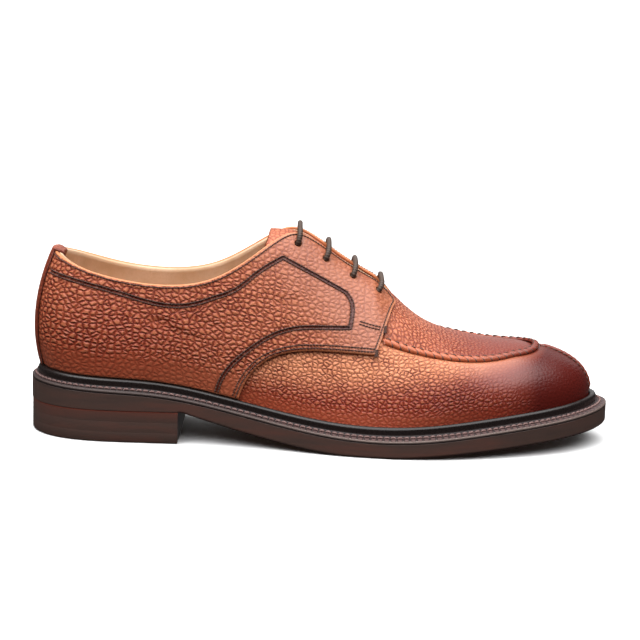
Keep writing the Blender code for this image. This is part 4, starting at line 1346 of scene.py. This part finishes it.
def make_welt(bead_material, shelf_material):
    """The storm welt: a round bead against the upper and a shelf that falls to its edge, which has a
    painted highlight.
    """
    places = np.arange(0, feather.length, WELT_STEP)
    x = feather.x(places)
    base = seat_at(x)
    width = margin(places)
    bead = plan.at("bead", x)
    crest = base + BEAD_TOP
    tuck = share_at_height(places, crest - BEAD_ROUND)
    out = feather.out(places)
    tucked = arc(controls(places), tuck[:, None])[:, 0] + np.column_stack((out, 0 * x)) * GAP
    reach = np.einsum("nd,nd->n", tucked[:, :2] - feather.curve.at(places), out)
    rim = beyond(places, width)
    ledge = seat_at(rim[:, 0])

    def ahead(distance, height):
        return np.column_stack((beyond(places, distance), height))

    foot = base + SHELF + SHELF_FALL
    middle = (reach + bead) / 2
    radius = (bead - reach) / 2
    profile = [ahead(GAP + 0 * x, base + GAP), ahead(reach * 0.5 + GAP, base + WELT_BACK)]
    for turn in np.linspace(math.pi, BEAD_TURNED, BEAD_STEPS):
        high = crest - radius * BEAD_FLAT + radius * BEAD_FLAT * math.sin(turn)
        profile.append(ahead(middle + radius * math.cos(turn), np.maximum(high, foot)))
    bead_rows = len(profile)
    profile += [ahead(bead, foot + 0.5), ahead(bead + 0.1, foot - WELT_GROOVE)]
    for share in np.linspace(SHELF_START, 1, SHELF_STEPS):
        distance = bead + (width - WELT_BEVEL - bead) * share
        profile.append(ahead(distance, foot + (ledge + SHELF - foot) * share))
    profile += [ahead(width - 0.12, ledge + SHELF - 0.15), ahead(width, ledge + SHELF - WELT_BEVEL),
                ahead(width, ledge + WELT_JOINT)]
    ring = np.stack(profile, 1)
    count = ring.shape[1]
    # Painted highlight on the rows at the shelf's edge.
    rim_highlight = np.zeros(count)
    rim_highlight[-4:-1] = WELT_RIM_HIGHLIGHT
    wheel = np.zeros(count)
    wheel[bead_rows + 3:-3] = 1.0
    marked = (0.3 + 0.7 * smooth(*WELT_MARKS, x))[:, None]
    spot = ahead(bead + (width - bead) * WELT_LINE, foot + (ledge + SHELF - foot) * WELT_LINE + 0.1)
    along = np.broadcast_to(run_length(spot)[:, None], ring.shape[:2])
    slots = np.repeat((0, 1), (bead_rows, count - bead_rows))
    tones = {"along": along, "wheel": wheel * marked, "rim_highlight": rim_highlight * marked}
    data = grid_mesh("welt_leather_ring", ring, closed=True, attributes=tones, slots=slots)
    add_piece("welt_leather_ring", data, (bead_material, shelf_material), ("welt",))
    return np.concatenate((spot, spot[:1]))


def make_outsole(edge_material, tread):
    """The sole, with a bevelled upper edge and a rounded tread edge that ends at the heel."""
    places = loop_places()
    wide = margin(places)

    def ring(height, inset, rise=0.0, share=0.0):
        return plan_ring(places, wide - inset, share, lambda x: height(x) + rise)

    upper = ring(seat_at, 0, rise=-SOLE_BEVEL)
    ahead_of_heel = smooth(BREAST - SOLE_BLEND, BREAST + SOLE_BLEND, feather.x(places))
    tread_round = SOLE_BEVEL + (SOLE_ROUND - SOLE_BEVEL) * ahead_of_heel
    lower = ring(underside, 0, rise=tread_round)
    rings = [ring(seat_at, SOLE_BEVEL, share=share) for share in SOLE_TOP_SHARES]
    rings.append(upper)
    for share in np.linspace(0, 1, SOLE_WALL_STEPS)[1:-1]:
        rings.append(upper + (lower - upper) * share)
    rings.append(lower)
    for turn in np.linspace(0, math.pi / 2, SOLE_ROUND_STEPS)[1:]:
        inset = tread_round * (1 - math.cos(turn))
        rings.append(ring(underside, inset, rise=tread_round * (1 - math.sin(turn))))
    for share in SOLE_TREAD_SHARES:
        rings.append(ring(underside, tread_round, share=share))
    data = grid_mesh("outsole_leather", np.stack(rings, 0), weld=WELD)
    normal = np.zeros(len(data.polygons) * 3)
    data.polygons.foreach_get("normal", normal)
    set_slots(data, normal.reshape(-1, 3)[:, 2] < FACES_DOWN)
    data.set_sharp_from_angle(angle=SHARP_EDGE)
    add_piece("outsole_leather", data, (edge_material, tread), ("outsole",))


def make_heel(edge_material, tread):
    """The stacked heel, with a fine groove between its lifts."""
    round_heel = []
    for side in SIDES:
        places = side_places(side)
        round_heel.append(np.append(places[feather.x(places) < BREAST - 0.5], feather.place(side, BREAST)))
    outer, inner = round_heel
    places = np.concatenate((inner[:0:-1], outer))

    def ring(inset, height):
        points = beyond(places, margin(places) - HEEL_INSET - inset)
        x = np.minimum(points[:, 0], BREAST - inset)
        return np.column_stack((x, points[:, 1], np.full(len(places), height)))

    rows = [(HEEL_ROUND, 0.0), (0.25, 0.22), (0.0, HEEL_ROUND)]
    for lift in HEEL_LIFTS:
        rows += [(0.0, lift - GROOVE_HALF), (LIFT_GROOVE, lift - GROOVE_FLOOR),
                 (LIFT_GROOVE, lift + GROOVE_FLOOR), (0.0, lift + GROOVE_HALF)]
    top = HEEL_HEIGHT - HEEL_JOIN
    rows += [(inset, top - below) for inset, below in HEEL_TOP_ROWS]
    points = np.stack([ring(*row) for row in rows], 0)
    join = np.array([smooth(*HEEL_JOINED, height) for _, height in rows])
    data = grid_mesh("heel_lifts", points, caps=True, attributes={"join": join[:, None]})
    caps = 2
    set_slots(data, np.repeat((0, 1), (len(data.polygons) - caps, caps)))
    data.set_sharp_from_angle(angle=SHARP_EDGE)
    add_piece("heel_lifts", data, (edge_material, tread), ("heel_stack",))


def make_insole(lining):
    """The sock and board the foot stands on, with a soft upper edge."""
    places = loop_places()
    inset = WALL + INSOLE_PLAY

    def ring(share, inward, lift):
        return plan_ring(places, -inset - inward, share, lambda x: seat_at(x) + lift)

    profile = [(1.0, 0, GAP), (0, 0, GAP), (0, 0, INSOLE - 0.8), (0, 0.3, INSOLE - 0.25)]
    profile += [(share, INSOLE_ROUND, INSOLE) for share in INSOLE_SHARES]
    data = grid_mesh("insole_sock", np.stack([ring(*row) for row in profile], 0), weld=WELD)
    add_piece("insole_sock", data, (lining,), ("insole",))


def ridge_mesh(name, points, normals, half, high, pitch, notch):
    """A raised hand-sewn seam: a rounded ridge drawn in at slanted notches."""
    run = run_length(points)
    count = int(run[-1] / SEAM_STEP)
    at = np.linspace(0, run[-1], count)
    points = between(at, run, points)
    normals = unit(between(at, run, normals))
    across = across_line(points, normals)
    turn = np.linspace(0, np.pi, SEAM_SIDES)
    phase = at[:, None] / pitch - SEAM_SLANT * np.cos(turn)[None]
    pinch = 1 - notch * (1 - abs(np.sin(np.pi * phase)) ** 0.55)
    fade = np.minimum(smooth(0, SEAM_FADE, at), smooth(run[-1], run[-1] - SEAM_FADE, at))[:, None]
    wide = half * np.cos(turn)[None] * (0.82 + 0.18 * pinch)
    tall = SEAM_FOOT + (high - SEAM_FOOT) * np.sin(turn)[None] ** 0.85 * pinch * (0.35 + 0.65 * fade)
    ring = points[:, None] + across[:, None] * wide[..., None] + normals[:, None] * tall[..., None]
    root = half * np.array((-0.7, 0.7))[None, :, None]
    base = points[:, None] - normals[:, None] * SEAM_ROOT + across[:, None] * root
    tones = {"pinch": np.concatenate((pinch, np.zeros((count, 2))), 1),
             "toe": smooth(*SEAM_BURNISH, points[:, 0])[:, None]}
    data = grid_mesh(name, np.concatenate((ring, base), 1), caps=True, attributes=tones)
    return data, (points, normals, across, run[-1])


def dashes(seam, pitch, dash, offset, lift, start):
    """Short lines along a seam, one for each stitch, bent down at both ends."""
    *fields, length = seam
    run = run_length(fields[0])
    rise = lift - STITCH_DIP * abs(np.linspace(-1, 1, STITCH_POINTS)) ** 3
    lines = []
    for at in np.arange(start, length - dash - DASH_END, pitch):
        spots = at + np.linspace(0, dash, STITCH_POINTS)
        here, out, wide = (between(spots, run, field) for field in fields)
        lines.append(here + wide * offset + out * rise[:, None])
    return lines


def notch_threads(seam, side):
    """Threads that lie in the notches on one side of the apron seam."""
    *fields, length = seam
    half, high, pitch, notch = APRON_SEAM.values()
    run = run_length(fields[0])
    reach = side * np.linspace(1.0, 0.25, 6)
    rise = SEAM_FOOT + (high - SEAM_FOOT) * (1 - reach ** 2) ** 0.43 * (1 - notch) + 0.05
    lines = []
    for k in range(1, int(length / pitch)):
        here, out, wide = (between(pitch * (k + SEAM_SLANT * reach), run, field) for field in fields)
        lines.append(here + wide * (half * 0.93 * reach)[:, None] + out * rise[:, None])
    return lines


def make_seams(leather):
    """The raised apron seam and the toe seam, and the stitches that draw them in."""
    at, normal = skin(seam_places, seam_shares[:, None])
    data, seam = ridge_mesh("apron_seam_ridge", at[:, 0], normal[:, 0], **APRON_SEAM)
    add_piece("apron_seam_ridge", data, (leather,), ("apron_seam",))
    _, _, across, _ = seam
    inner_side = -1.0 if across[0, 1] < 0 else 1.0
    stitches = dashes(seam, APRON_SEAM["pitch"], dash=2.3, offset=inner_side * 1.3, lift=1.45, start=1.4)
    stitches += notch_threads(seam, -inner_side)
    start = share_at_half([feather.toe], APRON_FRONT + TOE_SEAM_GAP)[0]
    end = share_at_height([feather.toe], bead_line([feather.toe]) + QUARTER_LIFT)[0]
    at, normal = skin([feather.toe], np.linspace(start, end, TOE_SEAM_STEPS))
    data, seam = ridge_mesh("toe_seam_ridge", at[0], normal[0], **TOE_SEAM)
    add_piece("toe_seam_ridge", data, (leather,), ("toe_seam",))
    for side in (-TOE_STITCHES, TOE_STITCHES):
        stitches += dashes(seam, TOE_SEAM["pitch"], dash=1.8, offset=side, lift=0.1, start=0.5)
    return stitches


def make_tongue(leather, lining):
    """The tongue: domed under the facings, free and a little waved at its top end."""
    xs = np.linspace(TONGUE_ROWS[0][0], TONGUE_ROWS[-1][0], TONGUE_STEPS)
    halves = []
    for side in SIDES:
        places = feather.place(side, xs)
        edge = edge_half(np.full(len(xs), side == "outer"), xs)
        wide = np.maximum(tongue_sizes.at("half", xs), edge + TONGUE_COVERED)
        low = share_at_half(places, wide)
        high = share_at_half(places, edge + TONGUE_FLANK)
        t = low[:, None] + (high - low)[:, None] * np.linspace(0, 1, FLANK_STEPS)
        flank, _ = skin(places, t, np.array(-(WALL + LAP + GAP / 2)))
        rim = flank[:, -1]
        crest = np.column_stack((core_point(xs), tongue_sizes.at("crest", xs)))
        share = np.linspace(0, 1, FLANK_STEPS)[1:]
        dome = rim[:, None] + (crest - rim)[:, None] * share[None, :, None]
        dome[..., 2] = rim[:, None, 2] + (crest - rim)[:, None, 2] * np.sin(share * np.pi / 2)
        halves.append(np.concatenate((flank, dome), 1))
    sheet = np.concatenate((halves[0], halves[1][:, -2::-1]), 1)
    free = smooth(*TONGUE_FREE, xs)[:, None]
    from_side = 1 - abs(np.linspace(-1, 1, sheet.shape[1]))
    sheet[..., 0] += free * (TONGUE_SCOOP * from_side - TONGUE_OVER)
    sheet[..., 2] += free * TONGUE_WAVE * np.sin(sheet[..., 1] * 0.32 + 0.6)
    normal = unit(np.cross(np.gradient(sheet, axis=0), np.gradient(sheet, axis=1)))
    normal *= np.sign(normal[..., 2:3] + 1e-6)
    ring = np.concatenate((sheet, (sheet - normal * TONGUE)[:, ::-1]), 1)
    tones = {"red": 0.5, "burnish_and_shade": 0.12, "grain": 0.7, "raw": 0.0, "gloss": 0.1,
             "along": ring[..., 0], "up": ring[..., 1]}
    slots = np.repeat((0, 1), sheet.shape[1])
    data = grid_mesh("tongue_leather_flap", ring, caps=True, attributes=tones, slots=slots)
    add_piece("tongue_leather_flap", data, (leather, lining), ("tongue",))


def make_lace(index, x, inset, cord):
    """One bar of the lace: up out of an eyelet, over the throat and down into the other."""
    ends = []
    for side in SIDES:
        place, share, half, _, _ = eyelet_at(side, x, inset, 0.0)
        rim = share_at_half(place, half)
        toward = share + (rim - share) * LACE_BEND
        on_top = LAP + QUARTER + LACE_CLEAR + LACE / 2
        spots = ((share, -LACE_DEPTH), (share, LAP + QUARTER), (toward, on_top + 0.3), (rim, on_top + 0.4))
        ends.append([skin(place, t[:, None], np.array(lift))[0][0, 0] for t, lift in spots])
    crown = (ends[0][-1] + ends[1][-1]) / 2
    crown[2] += LACE_ARCH
    through = np.array([*ends[0], crown, *ends[1][::-1]])
    course = Spline(run_length(through), through)
    path = course.at(np.linspace(0, course.knots[-1], LACE_STEPS))
    name = "lace_strand_%d" % index
    add_piece(name, tube_mesh(name, [path], LACE / 2, LACE_SIDES), (cord,), ("lace_bar_%d" % index,))


def stitch_lines(points, normals, offset, pitch=STITCH_PITCH, lift=0.12, share=0.9):
    """Stitches along a row, each a short strand that dips into the leather at both ends."""
    moved = points + across_line(points, normals) * offset
    run = run_length(moved)
    lines = []
    for at in np.arange(0.3, run[-1] - pitch, pitch):
        spots = at + np.linspace(0, pitch * share, STITCH_POINTS)
        out = between(spots, run, normals)
        lines.append(between(spots, run, moved) + out * (STITCH_BOW + lift)[:, None])
    return lines


def quarter_outline(side):
    """The collar, front and lower edge of a quarter as one line, and where its lower edge lies in it."""
    places = quarter_columns(side)
    bottom, top = quarter_span(places)
    x = feather.x(places)
    below = np.nonzero(x > QUARTER_BACK)[0][::-1]
    order = np.concatenate((places, places[below]))
    share = np.concatenate((top, bottom[below]))
    at, normal = skin(order, share[:, None], np.array(LAP + QUARTER))
    front = len(places) + int((x > QUARTER_CORNER).sum())
    return at[:, 0], normal[:, 0], slice(front, None)


def inset_line(points, normals, distance, target):
    """The line that runs a distance inside an edge, towards a target point, without loops at corners."""
    run = run_length(points)
    at = np.arange(0, run[-1], INSET_STEP)
    points = between(at, run, points)
    normals = unit(between(at, run, normals))
    across = across_line(points, normals)
    middle = len(points) // 2
    sign = 1.0 if np.dot(across[middle], target - points[middle]) > 0 else -1.0
    moved = points + across * sign * distance
    near = np.array([np.linalg.norm(points - spot, axis=1).min() for spot in moved])
    keep = near > INSET_KEPT * distance
    return moved[keep], normals[keep]


def counter_path(wall):
    """The line of the counter as one run, with its corners kept."""
    runs = [wall.path(rows) for rows in (COUNTER_LOWER, COUNTER_FRONT, COUNTER_FACING, COUNTER_COLLAR)]
    return np.concatenate([run[0] for run in runs]), np.concatenate([run[1] for run in runs])


def sew_quarter(side, wall):
    """All the stitches of one quarter."""
    lines = []
    points, normals = counter_path(wall)
    for offset in (-ROW_APART / 2, ROW_APART / 2):
        lines += stitch_lines(points, normals, offset)
    points, normals = wall.path(TAB_LINE)
    for offset in (-TAB_APART / 2, TAB_APART / 2):
        lines += stitch_lines(points, normals, offset)
    heart, _ = wall.find(*QUARTER_HEART)
    points, normals, foot = quarter_outline(side)
    for offset, run in ((EDGE_ROW, slice(None)), (EDGE_ROW + ROW_APART, foot)):
        row, out = inset_line(points[run], normals[run], offset, heart)
        lines += stitch_lines(row, out, 0.0)
    for x, z, lean in BAR_TACKS:
        for k in range(TACK_THREADS):
            start, out = wall.find(x - 0.9 + 0.1 * k, z - 1.5 + TACK_APART * k)
            end, _ = wall.find(x + 0.9 + lean, z - 1.3 + TACK_APART * k)
            lines.append(np.linspace(start, end, STITCH_POINTS) + out * TACK_BOW[:, None])
    return lines


def thread_taper(run):
    """How thick a stitch is along its length, beside its middle."""
    return 0.75 + 0.25 * np.sin(np.pi * np.clip(run / run[-1], 0, 1))


def add_stitches(name, lines, thread, radius, sides):
    add_piece(name, tube_mesh(name, lines, radius, sides, thread_taper), (thread,))


def make_floor():
    """A wide pale floor that throws no light back on the shoe."""
    shade = Shade("pale_floor", Specular_IOR_Level=0.2)
    fine = shade.noise(shade.place((30.0, 30.0, 30.0)), 1.0, 3.0)
    base = shade.mix(shade.span(fine, 0.3, 0.7), FLOOR_PALE, FLOOR_WHITE)
    material = shade.finish(base, 0.75)
    data = bpy.data.meshes.new("floor")
    corners = [(x * FLOOR_HALF, y * FLOOR_HALF, 0) for x, y in ((-1, -1), (1, -1), (1, 1), (-1, 1))]
    data.from_pydata(corners, [], [(0, 1, 2, 3)])
    data.materials.append(material)
    floor = bpy.data.objects.new("floor", data)
    floor.location.z = -FLOOR_DROP
    floor.visible_diffuse = False
    floor.visible_glossy = False
    bpy.context.scene.collection.objects.link(floor)


def add_light(name, source, spread, power):
    """A broad far light that comes from a direction and covers an angle of the sky."""
    light = bpy.data.lights.new(name, "SUN")
    light.energy = power
    light.angle = math.radians(spread)
    lamp = bpy.data.objects.new(name, light)
    lamp.rotation_euler = Vector(source).to_track_quat("Z", "Y").to_euler()
    bpy.context.scene.collection.objects.link(lamp)


def make_light():
    """A large soft box overhead, in a dim surround, and weak lights from the left and from behind."""
    world = bpy.data.worlds.new("surround")
    world.use_nodes = True
    bpy.context.scene.world = world
    nodes, links = world.node_tree.nodes, world.node_tree.links
    way = nodes.new("ShaderNodeTexCoord").outputs["Generated"]
    toward = nodes.new("ShaderNodeVectorMath")
    toward.operation = "DOT_PRODUCT"
    toward.inputs[1].default_value = Vector(SOFT_BOX_FROM).normalized()
    links.new(way, toward.inputs[0])
    glow = nodes.new("ShaderNodeMapRange")
    glow.interpolation_type = "SMOOTHSTEP"
    edges = [math.cos(math.radians(angle)) for angle in SOFT_BOX_EDGE]
    for key, value in zip(("From Min", "From Max", "To Min", "To Max"), (*edges, *SURROUND)):
        glow.inputs[key].default_value = value
    links.new(toward.outputs["Value"], glow.inputs["Value"])
    links.new(glow.outputs["Result"], nodes["Background"].inputs["Strength"])
    nodes["Background"].inputs["Color"].default_value = (1.0, 1.0, 1.0, 1.0)
    for name, settings in LIGHTS.items():
        add_light(name, *settings)


def make_camera():
    """The photo's camera: turned by its yaw, then tipped down by its pitch, then rolled."""
    lens = bpy.data.cameras.new("camera")
    lens.sensor_width = SENSOR
    lens.lens = SENSOR * CAMERA["focal"] / FRAME_PIXELS
    lens.clip_start = NEAREST
    lens.clip_end = FARTHEST
    camera = bpy.data.objects.new("camera", lens)
    yaw, pitch, roll = CAMERA["yaw"], CAMERA["pitch"], CAMERA["roll"]
    ahead = Vector((-math.sin(yaw) * math.cos(pitch), math.cos(yaw) * math.cos(pitch), -math.sin(pitch)))
    right = Vector((math.cos(yaw), math.sin(yaw), 0.0))
    down = ahead.cross(right)
    turned_right = right * math.cos(roll) - down * math.sin(roll)
    turned_down = right * math.sin(roll) + down * math.cos(roll)
    matrix = Matrix((turned_right, -turned_down, -ahead)).transposed().to_4x4()
    matrix.translation = Vector(CAMERA["at"]) * MM
    camera.matrix_world = matrix
    bpy.context.scene.collection.objects.link(camera)
    bpy.context.scene.camera = camera


def main():
    make_camera()
    make_light()
    make_floor()
    bpy.context.scene.view_settings.view_transform = "Standard"
    lining = lining_leather()
    vamp = grained_leather("vamp_grain", pebble=(2.6, 2.1), depth=0.5)
    quarter = grained_leather("quarter_grain", pebble=(3.1, 2.4), depth=0.68, raw_edge=True)
    tongue = grained_leather("tongue_grain", pebble=(2.4, 2.0), depth=0.3, raw_edge=True)
    edge = sole_edge_leather("sole_edge", streak=5.0)
    heel = sole_edge_leather("heel_edge", streak=7.0)
    tread = tread_leather()
    cord = waxed_cord("lace_cord", LACE_DARK, LACE_LIGHT, pitch=1.1)
    thread = waxed_cord("thread", THREAD_DARK, THREAD_LIGHT, pitch=0.5)
    welt_thread = waxed_cord("welt_thread", WELT_THREAD_DARK, WELT_THREAD_LIGHT, pitch=0.6)

    make_upper(vamp, lining)
    make_tongue(tongue, lining)
    make_insole(lining)
    for side in SIDES:
        wall = Wall(side, LAP + QUARTER)
        make_quarter(side, quarter, counter_path(wall)[0])
        add_stitches("stitches_" + side, sew_quarter(side, wall), thread, radius=0.34, sides=5)
    make_back_strip(quarter)
    add_stitches("stitches_seams", make_seams(seam_leather()), thread, radius=0.42, sides=6)
    line = make_welt(bead_leather(), shelf_leather())
    up = np.tile((0.0, 0.0, 1.0), (len(line), 1))
    welt_stitches = stitch_lines(line, up, 0.0, pitch=WELT_PITCH, lift=0.08, share=0.8)
    add_stitches("stitches_welt", welt_stitches, welt_thread, radius=0.6, sides=8)
    make_outsole(edge, tread)
    make_heel(heel, tread)
    for index, (x, inset) in enumerate(EYELET_ROWS, 1):
        make_lace(index, x, inset, cord)


main()
